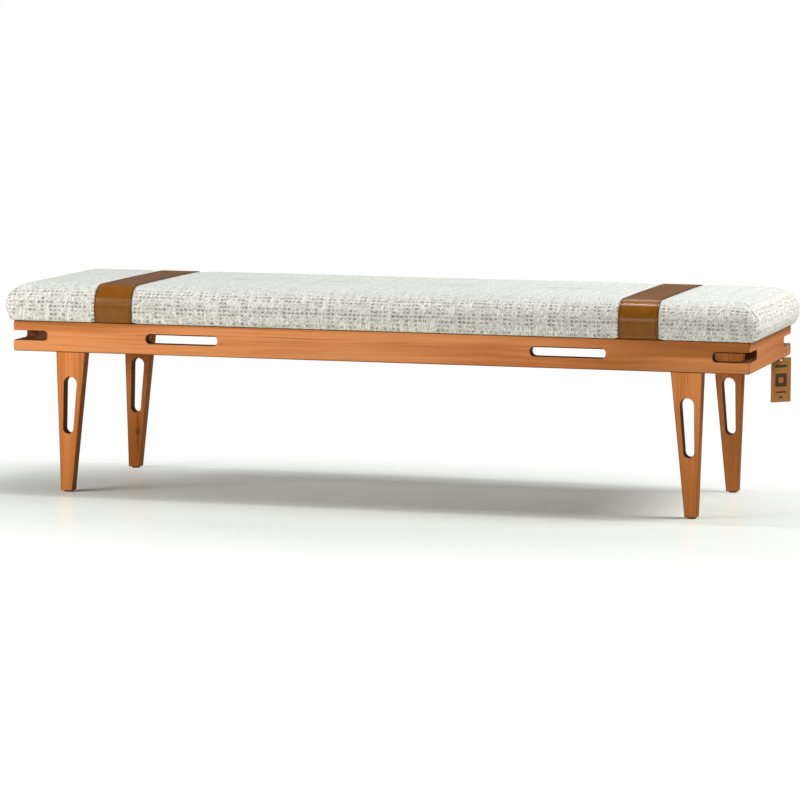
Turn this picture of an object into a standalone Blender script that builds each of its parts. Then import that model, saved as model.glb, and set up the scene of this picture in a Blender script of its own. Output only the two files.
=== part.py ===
"""Upholstered bench: a mitred hardwood frame on four tapered, slotted legs, and a
fabric seat pad held down by two leather straps.

Units are metres, +Z is up. The origin is on the floor, under the middle of the bench.
X runs along the bench, Y runs from the front (negative) to the back (positive).
"""

import math

import bmesh
import bpy
import numpy as np
from mathutils import Matrix, Vector

# Overall sizes of the wooden frame
FRAME_LENGTH = 1.800
FRAME_DEPTH = 0.500
STOCK = 0.028
RAIL_BOTTOM = 0.338
RAIL_HEIGHT = 0.073
ARRIS = 0.0012

# Clearance left between pieces that touch
FIT = 0.0003

# Slots and open corners of the rails
SLOT_BOTTOM_ABOVE_RAIL = 0.0265
SLOT_HEIGHT = 0.023
SLOT_LENGTH = 0.180
SLOT_CENTRE_FROM_END = 0.4275
SLOT_END_RADIUS = 0.0105
CORNER_OPENING_DEPTH = 0.086
CORNER_OPENING_RADIUS = 0.008
FINGER_TIP_RADIUS = 0.006
FINGER_INNER_RADIUS = 0.002

# Legs
LEG_INSET = 0.109
LEG_TOP_WIDTH = 0.075
LEG_FOOT_WIDTH = 0.029
LEG_OUTER_SLOPE = 0.010
LEG_FOOT_RADIUS = 0.002
LEG_SLOT_TOP_Z = 0.263
LEG_SLOT_TOP_RADIUS = 0.016
LEG_SLOT_TOP_INSET = 0.1447
LEG_SLOT_FOOT_Z = 0.154
LEG_SLOT_FOOT_RADIUS = 0.0125
LEG_SLOT_FOOT_INSET = 0.1390

# Foot glides
GLIDE_RADIUS = 0.0105
GLIDE_THICKNESS = 0.003
GLIDE_PIN_RADIUS = 0.0020
GLIDE_PIN_LENGTH = 0.014

# Loose tenons that join each leg to its rail
TENON_THICKNESS = 0.010
TENON_WIDTH = 0.044
TENON_DEPTH = 0.028

# Keys across the mitres, one in each finger
KEY_THICKNESS = 0.005
KEY_HEIGHT = 0.014
KEY_DEPTH = 0.009

# Battens that carry the seat board
BATTEN_WIDTH = 0.050
BATTEN_HEIGHT = 0.0235
BATTEN_PROUD = 0.0025
BATTEN_HOUSING_DEPTH = 0.008
BATTEN_FROM_END = 0.100
BATTEN_COUNT = 5

# Screws up through the battens into the seat board
SCREW_RADIUS = 0.0020
SCREW_LENGTH = 0.030
SCREW_HEAD_RADIUS = 0.0042
SCREW_HEAD_HEIGHT = 0.0026
SCREW_FROM_MIDDLE = 0.150

# Seat board, with a rebate underneath for the turned-in cloth and strap ends
BOARD_SETBACK = 0.004
BOARD_THICKNESS = 0.015
REBATE_WIDTH = 0.052
TURN_IN = 0.034

# Seat pad
CLOTH_THICKNESS = 0.0014
PAD_END_OVERHANG = 0.0095
PAD_EDGE_OVERHANG = 0.012
PAD_EDGE_EASE = 0.0024
PAD_BULGE = 0.015
PAD_SIDE_HEIGHT = 0.036
PAD_TOP_RADIUS = 0.050
PAD_CROWN = 0.0010
PAD_PLAN_RADIUS = 0.032
PAD_LEAST_PLAN_RADIUS = 0.004
PAD_END_RUN = 0.140
PAD_CORNER_PULL = 0.002

# Leather straps round the pad
STRAP_WIDTH = 0.095
STRAP_THICKNESS = 0.0020
STRAP_EASE = 0.0005
STRAP_TURN_IN = 0.030
STRAP_FROM_END = 0.259
STRAP_CHANNEL = 0.0016
STRAP_CHANNEL_BLEND = 0.010

# Hang tag and its string, looped over the lower finger of the right back corner
TAG_WIDTH = 0.055
TAG_HEIGHT = 0.107
TAG_THICKNESS = 0.0008
TAG_DROP = 0.0105
TAG_CORNER_RADIUS = 0.0010
TAG_TURN = math.radians(42.0)
TAG_FROM_BACK = 0.045
TAG_HOLE_RADIUS = 0.0025
TAG_HOLE_DOWN = 0.006
STRING_RADIUS = 0.0006
STRING_BEND = 0.0028

# Colours as (red, green, blue, roughness, metallic)
WOOD = (0.52, 0.22, 0.075, 0.45, 0.0)
PLYWOOD = (0.62, 0.45, 0.27, 0.60, 0.0)
BEECH = (0.66, 0.44, 0.25, 0.55, 0.0)
FOAM = (0.82, 0.78, 0.60, 0.90, 0.0)
CLOTH = (0.68, 0.66, 0.60, 0.95, 0.0)
LEATHER = (0.24, 0.11, 0.02, 0.45, 0.0)
STEEL = (0.55, 0.52, 0.45, 0.35, 1.0)
NYLON = (0.05, 0.04, 0.03, 0.60, 0.0)
CARD = (0.42, 0.26, 0.13, 0.80, 0.0)
STRING = (0.80, 0.72, 0.56, 0.85, 0.0)

# Worked-out sizes
HALF_LENGTH = FRAME_LENGTH / 2.0
HALF_DEPTH = FRAME_DEPTH / 2.0
RAIL_TOP = RAIL_BOTTOM + RAIL_HEIGHT
SLOT_BOTTOM = RAIL_BOTTOM + SLOT_BOTTOM_ABOVE_RAIL
SLOT_TOP = SLOT_BOTTOM + SLOT_HEIGHT
LEG_BOTTOM = GLIDE_THICKNESS + FIT
LEG_TOP = RAIL_BOTTOM - FIT
REBATE_DEPTH = STRAP_THICKNESS + CLOTH_THICKNESS + 2.0 * FIT
BATTEN_TOP = RAIL_TOP + BATTEN_PROUD
BOARD_BOTTOM = BATTEN_TOP + FIT
BOARD_TOP = BOARD_BOTTOM + BOARD_THICKNESS
CLOTH_TOP_UNDER_BOARD = BOARD_BOTTOM + REBATE_DEPTH - FIT
CLOTH_BOTTOM = CLOTH_TOP_UNDER_BOARD - CLOTH_THICKNESS
STRAP_PLACES = (-HALF_LENGTH + STRAP_FROM_END, HALF_LENGTH - STRAP_FROM_END)
BATTEN_STEP = 2.0 * (HALF_LENGTH - BATTEN_FROM_END) / (BATTEN_COUNT - 1)
BATTEN_PLACES = [BATTEN_FROM_END - HALF_LENGTH + BATTEN_STEP * index for index in range(BATTEN_COUNT)]
TAG_X = HALF_LENGTH - STOCK / 2.0
TAG_Y = HALF_DEPTH - TAG_FROM_BACK
TAG_HOLE_Z = RAIL_BOTTOM - TAG_DROP
STRING_LOW = TAG_HOLE_Z + TAG_HOLE_RADIUS - STRING_RADIUS - 2.0 * FIT


def clear_scene():
    """Remove whatever the scene holds."""
    for thing in list(bpy.data.objects):
        bpy.data.objects.remove(thing, do_unlink=True)


def make_material(name, finish):
    """A Principled material from (red, green, blue, roughness, metallic)."""
    material = bpy.data.materials.new(name)
    material.use_nodes = True
    shader = material.node_tree.nodes["Principled BSDF"]
    shader.inputs["Base Color"].default_value = (*finish[:3], 1.0)
    shader.inputs["Roughness"].default_value = finish[3]
    shader.inputs["Metallic"].default_value = finish[4]
    material.diffuse_color = (*finish[:3], 1.0)
    return material


def place_mesh(name, mesh, finish, smooth=False):
    """Put a mesh in the scene as a named object with its own material."""
    piece = bpy.data.objects.new(name, mesh)
    bpy.context.scene.collection.objects.link(piece)
    mesh.materials.clear()
    mesh.materials.append(make_material(name + "_finish", finish))
    if smooth:
        mesh.shade_smooth()
        mesh.set_sharp_from_angle(angle=math.radians(35.0))
    return piece


def mesh_from_arrays(name, points, faces):
    """A mesh from points and faces, with its faces turned outwards."""
    mesh = bpy.data.meshes.new(name)
    mesh.from_pydata([tuple(map(float, point)) for point in points], [], faces)
    shape = bmesh.new()
    shape.from_mesh(mesh)
    bmesh.ops.recalc_face_normals(shape, faces=shape.faces)
    shape.to_mesh(mesh)
    shape.free()
    return mesh


def arc(centre, radius, start, end, steps):
    """Points of a circular arc, with its angles in degrees."""
    angles = np.radians(np.linspace(start, end, steps + 1))
    return [(centre[0] + radius * math.cos(a), centre[1] + radius * math.sin(a)) for a in angles]


def rounded_outline(corners, steps=3):
    """A closed outline through (x, y, radius) corners, each rounded by its own radius."""
    outline = []
    count = len(corners)
    for index, (x, y, radius) in enumerate(corners):
        here = Vector((x, y))
        before = Vector(corners[index - 1][:2]) - here
        after = Vector(corners[(index + 1) % count][:2]) - here
        if radius <= 0.0:
            outline.append((x, y))
            continue
        before.normalize()
        after.normalize()
        half = before.angle(after) / 2.0
        run = radius / math.tan(half)
        bisector = (before + after).normalized()
        centre = here + bisector * (radius / math.sin(half))
        first = here + before * run - centre
        last = here + after * run - centre
        turn = first.angle_signed(last)
        for step in range(steps + 1):
            spoke = first.copy()
            spoke.rotate(Matrix.Rotation(-turn * step / steps, 2))
            outline.append(tuple(centre + spoke))
    return outline


def inset_outline(outline, distance):
    """A closed outline moved inwards by a distance, or outwards by a negative one."""
    line = np.array(outline)
    ahead = np.roll(line, -1, axis=0)
    area = np.sum(line[:, 0] * ahead[:, 1] - ahead[:, 0] * line[:, 1])
    steps = (ahead - line) * np.sign(area)
    steps /= np.linalg.norm(steps, axis=1)[:, None]
    normals = np.stack([-steps[:, 1], steps[:, 0]], axis=1)
    joints = normals + np.roll(normals, 1, axis=0)
    joints /= np.linalg.norm(joints, axis=1)[:, None]
    stretch = distance / np.sum(joints * normals, axis=1)
    return line + joints * stretch[:, None]


def board_mesh(name, outline, thickness, arris):
    """A flat board with eased edges, lying in the XY plane and centred on Z = 0."""
    half = thickness / 2.0
    levels = [(arris, -half), (0.0, arris - half), (0.0, half - arris), (arris, half)]
    if arris == 0.0:
        levels = [(0.0, -half), (0.0, half)]
    rings = [[(x, y, z) for x, y in inset_outline(outline, inset)] for inset, z in levels]
    return skin_mesh(name, rings, True)


def opening_mesh(outline, thickness, arris):
    """The space of an opening through a board, wider at its mouths for their eased edges."""
    over = 0.001
    half = thickness / 2.0
    mouth = -(arris + over if arris else 0.0)
    levels = [(mouth, -half - over), (0.0, arris - half), (0.0, half - arris), (mouth, half + over)]
    rings = [[(x, y, z) for x, y in inset_outline(outline, inset)] for inset, z in levels]
    return skin_mesh("opening", rings, True)


def slice_mesh(mesh, point, normal):
    """Keep the side of a plane that its normal points away from, and close the cut."""
    shape = bmesh.new()
    shape.from_mesh(mesh)
    geometry = shape.verts[:] + shape.edges[:] + shape.faces[:]
    cut = bmesh.ops.bisect_plane(shape, geom=geometry, plane_co=point, plane_no=normal,
                                 clear_outer=True, dist=1e-7)
    edges = [item for item in cut["geom_cut"] if isinstance(item, bmesh.types.BMEdge)]
    bmesh.ops.holes_fill(shape, edges=edges, sides=0)
    bmesh.ops.recalc_face_normals(shape, faces=shape.faces)
    shape.to_mesh(mesh)
    shape.free()


def box_mesh(name, low, high):
    """A plain box between two opposite corners."""
    shape = bmesh.new()
    bmesh.ops.create_cube(shape, size=1.0)
    size = [high[axis] - low[axis] for axis in range(3)]
    middle = [(high[axis] + low[axis]) / 2.0 for axis in range(3)]
    bmesh.ops.scale(shape, vec=size, verts=shape.verts)
    bmesh.ops.translate(shape, vec=middle, verts=shape.verts)
    mesh = bpy.data.meshes.new(name)
    shape.to_mesh(mesh)
    shape.free()
    return mesh


def turned_mesh(name, profile, sides, centre):
    """A turned solid: (radius, height) points from the bottom axis point to the top one."""
    ring = np.radians(np.arange(sides) * 360.0 / sides)
    points = [(centre[0], centre[1], centre[2] + profile[0][1])]
    for radius, height in profile[1:-1]:
        for angle in ring:
            points.append((centre[0] + radius * math.cos(angle),
                           centre[1] + radius * math.sin(angle),
                           centre[2] + height))
    points.append((centre[0], centre[1], centre[2] + profile[-1][1]))
    faces = []
    rows = len(profile) - 2
    last = len(points) - 1
    for side in range(sides):
        other = (side + 1) % sides
        faces.append((0, 1 + other, 1 + side))
        for row in range(rows - 1):
            low = 1 + row * sides
            high = low + sides
            faces.append((low + side, low + other, high + other, high + side))
        top = 1 + (rows - 1) * sides
        faces.append((top + side, top + other, last))
    return mesh_from_arrays(name, points, faces)


def carve(piece, cutter_meshes):
    """Cut the given closed meshes out of a piece and keep the result as its mesh."""
    cutters = []
    for index, mesh in enumerate(cutter_meshes):
        cutter = bpy.data.objects.new(f"{piece.name}_cutter_{index}", mesh)
        cutter.display_type = "WIRE"
        cutter.hide_render = True
        bpy.context.scene.collection.objects.link(cutter)
        cutters.append(cutter)
        boolean = piece.modifiers.new(f"cut_{index}", "BOOLEAN")
        boolean.operation = "DIFFERENCE"
        boolean.object = cutter
    bpy.context.view_layer.update()
    evaluated = piece.evaluated_get(bpy.context.evaluated_depsgraph_get())
    result = bpy.data.meshes.new_from_object(evaluated)
    piece.modifiers.clear()
    piece.data = result
    for cutter in cutters:
        bpy.data.objects.remove(cutter, do_unlink=True)


def long_rail_outline():
    """Outline of a front or back rail in its own length and height."""
    inner = HALF_LENGTH - CORNER_OPENING_DEPTH
    right_end = [
        (HALF_LENGTH, RAIL_BOTTOM, FINGER_TIP_RADIUS),
        (HALF_LENGTH, SLOT_BOTTOM, FINGER_INNER_RADIUS),
        (inner, SLOT_BOTTOM, CORNER_OPENING_RADIUS),
        (inner, SLOT_TOP, CORNER_OPENING_RADIUS),
        (HALF_LENGTH, SLOT_TOP, FINGER_INNER_RADIUS),
        (HALF_LENGTH, RAIL_TOP, FINGER_TIP_RADIUS),
    ]
    left_end = [(-x, z, radius) for x, z, radius in reversed(right_end)]
    return rounded_outline(right_end + left_end)


def slot_outline(side_x):
    """Outline of one long slot of a front or back rail."""
    middle = side_x * (HALF_LENGTH - SLOT_CENTRE_FROM_END)
    low = middle - SLOT_LENGTH / 2.0
    high = middle + SLOT_LENGTH / 2.0
    corners = [(low, SLOT_BOTTOM), (high, SLOT_BOTTOM), (high, SLOT_TOP), (low, SLOT_TOP)]
    return rounded_outline([(x, z, SLOT_END_RADIUS) for x, z in corners], 4)


def end_rail_outline():
    """Outline of an end rail in its own length and height, with an open corner at each end."""
    inner = HALF_DEPTH - CORNER_OPENING_DEPTH
    back_end = [
        (HALF_DEPTH, RAIL_BOTTOM, FINGER_TIP_RADIUS),
        (HALF_DEPTH, SLOT_BOTTOM, FINGER_INNER_RADIUS),
        (inner, SLOT_BOTTOM, CORNER_OPENING_RADIUS),
        (inner, SLOT_TOP, CORNER_OPENING_RADIUS),
        (HALF_DEPTH, SLOT_TOP, FINGER_INNER_RADIUS),
        (HALF_DEPTH, RAIL_TOP, FINGER_TIP_RADIUS),
    ]
    front_end = [(-y, z, radius) for y, z, radius in reversed(back_end)]
    return rounded_outline(back_end + front_end)


def stand_at_side(mesh, side_y):
    """Stand a board up so that its height is along Z, at the front or back of the frame."""
    mesh.transform(Matrix.Rotation(math.radians(90.0), 4, "X"))
    mesh.transform(Matrix.Translation((0.0, side_y * (HALF_DEPTH - STOCK / 2.0), 0.0)))
    return mesh


def stand_at_end(mesh, side_x):
    """Stand a board up at one end of the frame, with its length along Y."""
    mesh.transform(Matrix.Rotation(math.radians(90.0), 4, "X"))
    mesh.transform(Matrix.Rotation(math.radians(90.0), 4, "Z"))
    mesh.transform(Matrix.Translation((side_x * (HALF_LENGTH - STOCK / 2.0), 0.0, 0.0)))
    return mesh


def finger_levels():
    """Middle heights of the lower and the upper finger."""
    return ((RAIL_BOTTOM + SLOT_BOTTOM) / 2.0, (SLOT_TOP + RAIL_TOP) / 2.0)


def mitre_middle(side_x, side_y):
    """Middle of a mitre's line, in plan, at one corner of the frame."""
    return (side_x * (HALF_LENGTH - STOCK / 2.0), side_y * (HALF_DEPTH - STOCK / 2.0))


def key_block(name, side_x, side_y, level, extra):
    """A block across one mitre, square to it; extra grows it on every side."""
    depth = KEY_DEPTH + extra
    thick = KEY_THICKNESS / 2.0 + extra
    tall = KEY_HEIGHT / 2.0 + extra
    mesh = box_mesh(name, (-depth, -thick, -tall), (depth, thick, tall))
    x, y = mitre_middle(side_x, side_y)
    turn = math.atan2(-side_x, side_y)
    mesh.transform(Matrix.Translation((x, y, level)) @ Matrix.Rotation(turn, 4, "Z"))
    return mesh


def tenon_box(name, x, side_y, extra):
    """A loose tenon between a leg and its rail; extra grows it on every side."""
    y = side_y * (HALF_DEPTH - STOCK / 2.0)
    wide = TENON_WIDTH / 2.0 + extra
    thick = TENON_THICKNESS / 2.0 + extra
    deep = TENON_DEPTH + extra
    return box_mesh(name, (x - wide, y - thick, RAIL_BOTTOM - deep), (x + wide, y + thick, RAIL_BOTTOM + deep))


def leg_middle(side_x):
    """Middle of a leg's top edge along the bench."""
    return side_x * (HALF_LENGTH - LEG_INSET - LEG_TOP_WIDTH / 2.0)


def batten_box(name, x, extra):
    """A batten across the frame with its ends in the rails; extra grows it on every side."""
    wide = BATTEN_WIDTH / 2.0 + extra
    reach = HALF_DEPTH - STOCK + BATTEN_HOUSING_DEPTH - FIT + extra
    low = BATTEN_TOP - BATTEN_HEIGHT - extra
    return box_mesh(name, (x - wide, -reach, low), (x + wide, reach, BATTEN_TOP + extra))


def make_long_rail(name, side_y):
    """A front or back rail: slotted board, mitred ends, housings and mortises."""
    mesh = stand_at_side(board_mesh(name, long_rail_outline(), STOCK, ARRIS), side_y)
    gap = FIT / 2.0 * math.sqrt(2.0)
    for side_x in (-1.0, 1.0):
        point = (side_x * (HALF_LENGTH - gap), side_y * HALF_DEPTH, 0.0)
        slice_mesh(mesh, point, (side_x, -side_y, 0.0))
    rail = place_mesh(name, mesh, WOOD)
    cutters = [batten_box("housing", x, FIT) for x in BATTEN_PLACES]
    for side_x in (-1.0, 1.0):
        cutters.append(stand_at_side(opening_mesh(slot_outline(side_x), STOCK, ARRIS), side_y))
        cutters.append(tenon_box("mortise", leg_middle(side_x), side_y, FIT))
        for level in finger_levels():
            cutters.append(key_block("key_slot", side_x, side_y, level, FIT))
    carve(rail, cutters)
    return rail


def make_end_rail(name, side_x):
    """An end rail, mitred between the long rails."""
    mesh = stand_at_end(board_mesh(name, end_rail_outline(), STOCK, ARRIS), side_x)
    gap = FIT / 2.0 * math.sqrt(2.0)
    for side_y in (-1.0, 1.0):
        point = (side_x * HALF_LENGTH, side_y * (HALF_DEPTH - gap), 0.0)
        slice_mesh(mesh, point, (-side_x, side_y, 0.0))
    rail = place_mesh(name, mesh, WOOD)
    cutters = []
    for side_y in (-1.0, 1.0):
        for level in finger_levels():
            cutters.append(key_block("key_slot", side_x, side_y, level, FIT))
    carve(rail, cutters)
    return rail


def leg_outline(side_x):
    """Outline of a leg, which runs a little past its top so that the top can be cut square."""
    above = LEG_TOP + 2.0 * ARRIS
    slope_outer = LEG_OUTER_SLOPE / RAIL_BOTTOM
    slope_inner = (LEG_TOP_WIDTH - LEG_FOOT_WIDTH - LEG_OUTER_SLOPE) / RAIL_BOTTOM
    rise = above - RAIL_BOTTOM
    outer_top = LEG_INSET - slope_outer * rise
    inner_top = LEG_INSET + LEG_TOP_WIDTH + slope_inner * rise
    outer_foot = LEG_INSET + LEG_OUTER_SLOPE
    inner_foot = outer_foot + LEG_FOOT_WIDTH
    corners = [
        (HALF_LENGTH - inner_foot, LEG_BOTTOM, LEG_FOOT_RADIUS),
        (HALF_LENGTH - outer_foot, LEG_BOTTOM, LEG_FOOT_RADIUS),
        (HALF_LENGTH - outer_top, above, 0.0),
        (HALF_LENGTH - inner_top, above, 0.0),
    ]
    return [(side_x * x, z) for x, z in rounded_outline(corners)]


def leg_slot_outline(side_x):
    """Outline of a leg's tapered slot: a smaller circle below a larger one, joined."""
    top = Vector((HALF_LENGTH - LEG_SLOT_TOP_INSET, LEG_SLOT_TOP_Z))
    foot = Vector((HALF_LENGTH - LEG_SLOT_FOOT_INSET, LEG_SLOT_FOOT_Z))
    axis = top - foot
    lean = math.degrees(math.atan2(axis.y, axis.x))
    taper = math.degrees(math.asin((LEG_SLOT_TOP_RADIUS - LEG_SLOT_FOOT_RADIUS) / axis.length))
    slot = arc(top, LEG_SLOT_TOP_RADIUS, lean - 90.0 - taper, lean + 90.0 + taper, 10)
    slot += arc(foot, LEG_SLOT_FOOT_RADIUS, lean + 90.0 + taper, lean + 270.0 - taper, 10)
    return [(side_x * x, z) for x, z in slot]


def glide_profile(extra):
    """Profile of a glide's pin as a turned solid; extra grows the pin for its hole."""
    radius = GLIDE_PIN_RADIUS + extra
    top = LEG_BOTTOM + GLIDE_PIN_LENGTH
    return radius, top


def foot_middle(side_x):
    """Middle of a foot along the bench."""
    return side_x * (HALF_LENGTH - LEG_INSET - LEG_OUTER_SLOPE - LEG_FOOT_WIDTH / 2.0)


def make_leg(name, side_x, side_y):
    """A leg: tapered board with a slot, a mortise in its top and a hole in its foot."""
    mesh = stand_at_side(board_mesh(name, leg_outline(side_x), STOCK, ARRIS), side_y)
    slice_mesh(mesh, (0.0, 0.0, LEG_TOP), (0.0, 0.0, 1.0))
    leg = place_mesh(name, mesh, WOOD)
    radius, top = glide_profile(FIT)
    hole = [(0.0, 0.0), (radius, 0.0), (radius, top + FIT), (0.0, top + FIT)]
    y = side_y * (HALF_DEPTH - STOCK / 2.0)
    carve(leg, [
        stand_at_side(opening_mesh(leg_slot_outline(side_x), STOCK, ARRIS), side_y),
        tenon_box("mortise", leg_middle(side_x), side_y, FIT),
        turned_mesh("pin_hole", hole, 12, (foot_middle(side_x), y, 0.0)),
    ])
    return leg


def make_glide(name, side_x, side_y):
    """A foot glide: a disc with a pin driven up into the foot."""
    radius, top = glide_profile(0.0)
    profile = [
        (0.0, 0.0),
        (GLIDE_RADIUS - ARRIS, 0.0),
        (GLIDE_RADIUS, ARRIS),
        (GLIDE_RADIUS, GLIDE_THICKNESS),
        (radius, GLIDE_THICKNESS),
        (radius, top),
        (0.0, top),
    ]
    y = side_y * (HALF_DEPTH - STOCK / 2.0)
    mesh = turned_mesh(name, profile, 16, (foot_middle(side_x), y, 0.0))
    return place_mesh(name, mesh, NYLON, smooth=True)


def screw_profile(extra):
    """Profile of a countersunk screw from its head up; extra grows it for its hole."""
    head = SCREW_HEAD_RADIUS + extra
    shank = SCREW_RADIUS + extra
    return [
        (0.0, -extra),
        (head, -extra),
        (head, extra),
        (shank, SCREW_HEAD_HEIGHT + extra),
        (shank, SCREW_LENGTH - SCREW_RADIUS * 2.0 + extra),
        (0.0, SCREW_LENGTH + extra),
    ]


def screw_points():
    """Places of the screws' heads, flush with the undersides of the battens."""
    height = BATTEN_TOP - BATTEN_HEIGHT
    return [(x, side * SCREW_FROM_MIDDLE, height) for x in BATTEN_PLACES for side in (-1.0, 1.0)]


def make_battens_and_screws():
    """The battens across the frame and the screws that hold the seat board."""
    battens = []
    for index, x in enumerate(BATTEN_PLACES, 1):
        batten = place_mesh(f"seat_batten_{index}", batten_box("batten", x, 0.0), BEECH)
        holes = [turned_mesh("screw_hole", screw_profile(FIT), 12, point)
                 for point in screw_points() if abs(point[0] - x) < BATTEN_WIDTH / 2.0]
        carve(batten, holes)
        battens.append(batten)
    for index, point in enumerate(screw_points(), 1):
        mesh = turned_mesh("screw", screw_profile(0.0), 12, point)
        place_mesh(f"seat_screw_{index}", mesh, STEEL, smooth=True)
    return battens


def pad_profile(turn_in):
    """Outer line of the cloth from its turned-in edge up and over to the middle of the top.

    Each point is (outset, height), with outset measured outwards from the frame's sides.
    The side swells to its bulge, a quarter circle turns onto the top, and the top rises
    along a quarter sine wave to the crown.
    """
    swell = PAD_BULGE - PAD_EDGE_OVERHANG
    points = [
        (-turn_in, CLOTH_BOTTOM),
        (PAD_EDGE_OVERHANG - PAD_EDGE_EASE, CLOTH_BOTTOM),
        (PAD_EDGE_OVERHANG, CLOTH_BOTTOM + PAD_EDGE_EASE),
        (PAD_EDGE_OVERHANG + 0.66 * swell, CLOTH_BOTTOM + 0.30 * PAD_SIDE_HEIGHT),
        (PAD_BULGE, CLOTH_BOTTOM + 0.68 * PAD_SIDE_HEIGHT),
    ]
    centre = (PAD_BULGE - PAD_EDGE_EASE / 4.0 - PAD_TOP_RADIUS, CLOTH_BOTTOM + PAD_SIDE_HEIGHT)
    points += arc(centre, PAD_TOP_RADIUS, 0.0, 82.0, 4)
    inner, edge = points[-1]
    for share in (0.30, 0.65, 1.0):
        outset = inner - share * (HALF_DEPTH + inner)
        points.append((outset, edge + PAD_CROWN * math.sin(share * math.pi / 2.0)))
    return np.array(points)


# Share of a strap's pull, and of a corner's, at each point of the pad's profile
STRAP_PULL = np.array([0.0, 0.0, 0.4, 1.0, 1.0, 1.0, 1.0, 1.0, 1.0, 1.0, 1.0, 1.0, 1.0])
CORNER_PULL = np.array([0.0, 0.0, 0.5, 1.0, 1.0, 1.0, 0.9, 0.7, 0.5, 0.3, 0.1, 0.0, 0.0])


def inset_line(line, distance):
    """A line moved to its inner side by a distance, which may differ from point to point."""
    steps = np.diff(line, axis=0)
    steps /= np.linalg.norm(steps, axis=1)[:, None]
    normals = np.stack([-steps[:, 1], steps[:, 0]], axis=1)
    joints = np.vstack([normals[:1], normals[:-1] + normals[1:], normals[-1:]])
    joints /= np.linalg.norm(joints, axis=1)[:, None]
    facing = np.vstack([normals[:1], normals])
    stretch = 1.0 / np.clip(np.sum(joints * facing, axis=1), 0.6, 1.0)
    moved = line + joints * (np.broadcast_to(distance, len(line)) * stretch)[:, None]
    moved[-1, 0] = line[-1, 0]
    return moved


def channel_depth(x):
    """How far a strap draws the pad in, at a place along the bench."""
    depth = 0.0
    for place in STRAP_PLACES:
        beyond = abs(x - place) - STRAP_WIDTH / 2.0
        share = min(max(1.0 - beyond / STRAP_CHANNEL_BLEND, 0.0), 1.0)
        depth = max(depth, STRAP_CHANNEL * share)
    return depth


def pad_columns():
    """Columns round the pad, anticlockwise from above.

    Each is (kind, side_x, side_y, place, pull). A side column's place is its X, a corner
    column's is its angle in degrees, and an end column's is its share of the half depth.
    """
    reach = STRAP_WIDTH / 2.0 + FIT
    blend = STRAP_WIDTH / 2.0 + STRAP_CHANNEL_BLEND
    stations = [place + step for place in STRAP_PLACES for step in (-blend, -reach, reach, blend)]
    stations = sorted(stations + [0.3 * place for place in STRAP_PLACES])

    def corner(side_x, side_y, start):
        turns = [start + 30.0 * step for step in range(4)]
        pulls = [0.0, PAD_CORNER_PULL, PAD_CORNER_PULL, 0.0]
        return [("corner", side_x, side_y, turn, pull * CORNER_PULL) for turn, pull in zip(turns, pulls)]

    columns = [("side", 0.0, -1.0, x, channel_depth(x) * STRAP_PULL) for x in stations]
    columns += corner(1.0, -1.0, -90.0)
    columns += [("end", 1.0, 0.0, share, 0.0 * CORNER_PULL) for share in (-0.45, 0.45)]
    columns += corner(1.0, 1.0, 0.0)
    columns += [("side", 0.0, 1.0, x, channel_depth(x) * STRAP_PULL) for x in reversed(stations)]
    columns += corner(-1.0, 1.0, 90.0)
    columns += [("end", -1.0, 0.0, share, 0.0 * CORNER_PULL) for share in (0.45, -0.45)]
    columns += corner(-1.0, -1.0, 180.0)
    return columns


def plan_point(column, outset):
    """Where a column stands in plan, at an outset from the frame's sides; the ends stand further out."""
    kind, side_x, side_y, place, _ = column
    along = outset
    if outset < -PAD_TOP_RADIUS:
        share = (-outset - PAD_TOP_RADIUS) / (HALF_DEPTH - PAD_TOP_RADIUS)
        along = -PAD_TOP_RADIUS - share * (PAD_END_RUN - PAD_TOP_RADIUS)
    half_x = HALF_LENGTH + PAD_END_OVERHANG + along
    half_y = HALF_DEPTH + outset
    radius = min(max(PAD_PLAN_RADIUS + outset - PAD_BULGE, PAD_LEAST_PLAN_RADIUS), half_y)
    if kind == "side":
        return place, side_y * half_y
    if kind == "end":
        return side_x * half_x, place * (half_y - radius)
    turn = math.radians(place)
    x = side_x * (half_x - radius) + radius * math.cos(turn)
    y = side_y * (half_y - radius) + radius * math.sin(turn)
    return x, y


def pad_rings(distance):
    """Rings round the pad at a distance inside the cloth's outer face, from the lip up."""
    profile = pad_profile(TURN_IN)
    columns = pad_columns()
    lines = [inset_line(profile, distance + column[4]) for column in columns]
    rings = []
    for row in range(len(profile)):
        ring = []
        for column, line in zip(columns, lines):
            x, y = plan_point(column, line[row, 0])
            ring.append((x, y, line[row, 1]))
        rings.append(ring)
    return rings


def flat_ring(outset, height):
    """A level ring round the pad at one outset."""
    return [(*plan_point(column, outset), height) for column in pad_columns()]


def skin_mesh(name, rings, capped):
    """A closed mesh over a run of rings, with its two ends capped or drawn together."""
    count = len(rings[0])
    points = [point for ring in rings for point in ring]
    faces = []
    for row in range(len(rings) - 1):
        for side in range(count):
            low = row * count + side
            other = row * count + (side + 1) % count
            faces.append((low, other, other + count, low + count))
    if capped:
        faces.append(tuple(range(count))[::-1])
        faces.append(tuple(range((len(rings) - 1) * count, len(rings) * count)))
    mesh = bpy.data.meshes.new(name)
    mesh.from_pydata([tuple(map(float, point)) for point in points], [], faces)
    shape = bmesh.new()
    shape.from_mesh(mesh)
    bmesh.ops.remove_doubles(shape, verts=shape.verts, dist=2e-6)
    bmesh.ops.recalc_face_normals(shape, faces=shape.faces)
    shape.to_mesh(mesh)
    shape.free()
    return mesh


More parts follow.
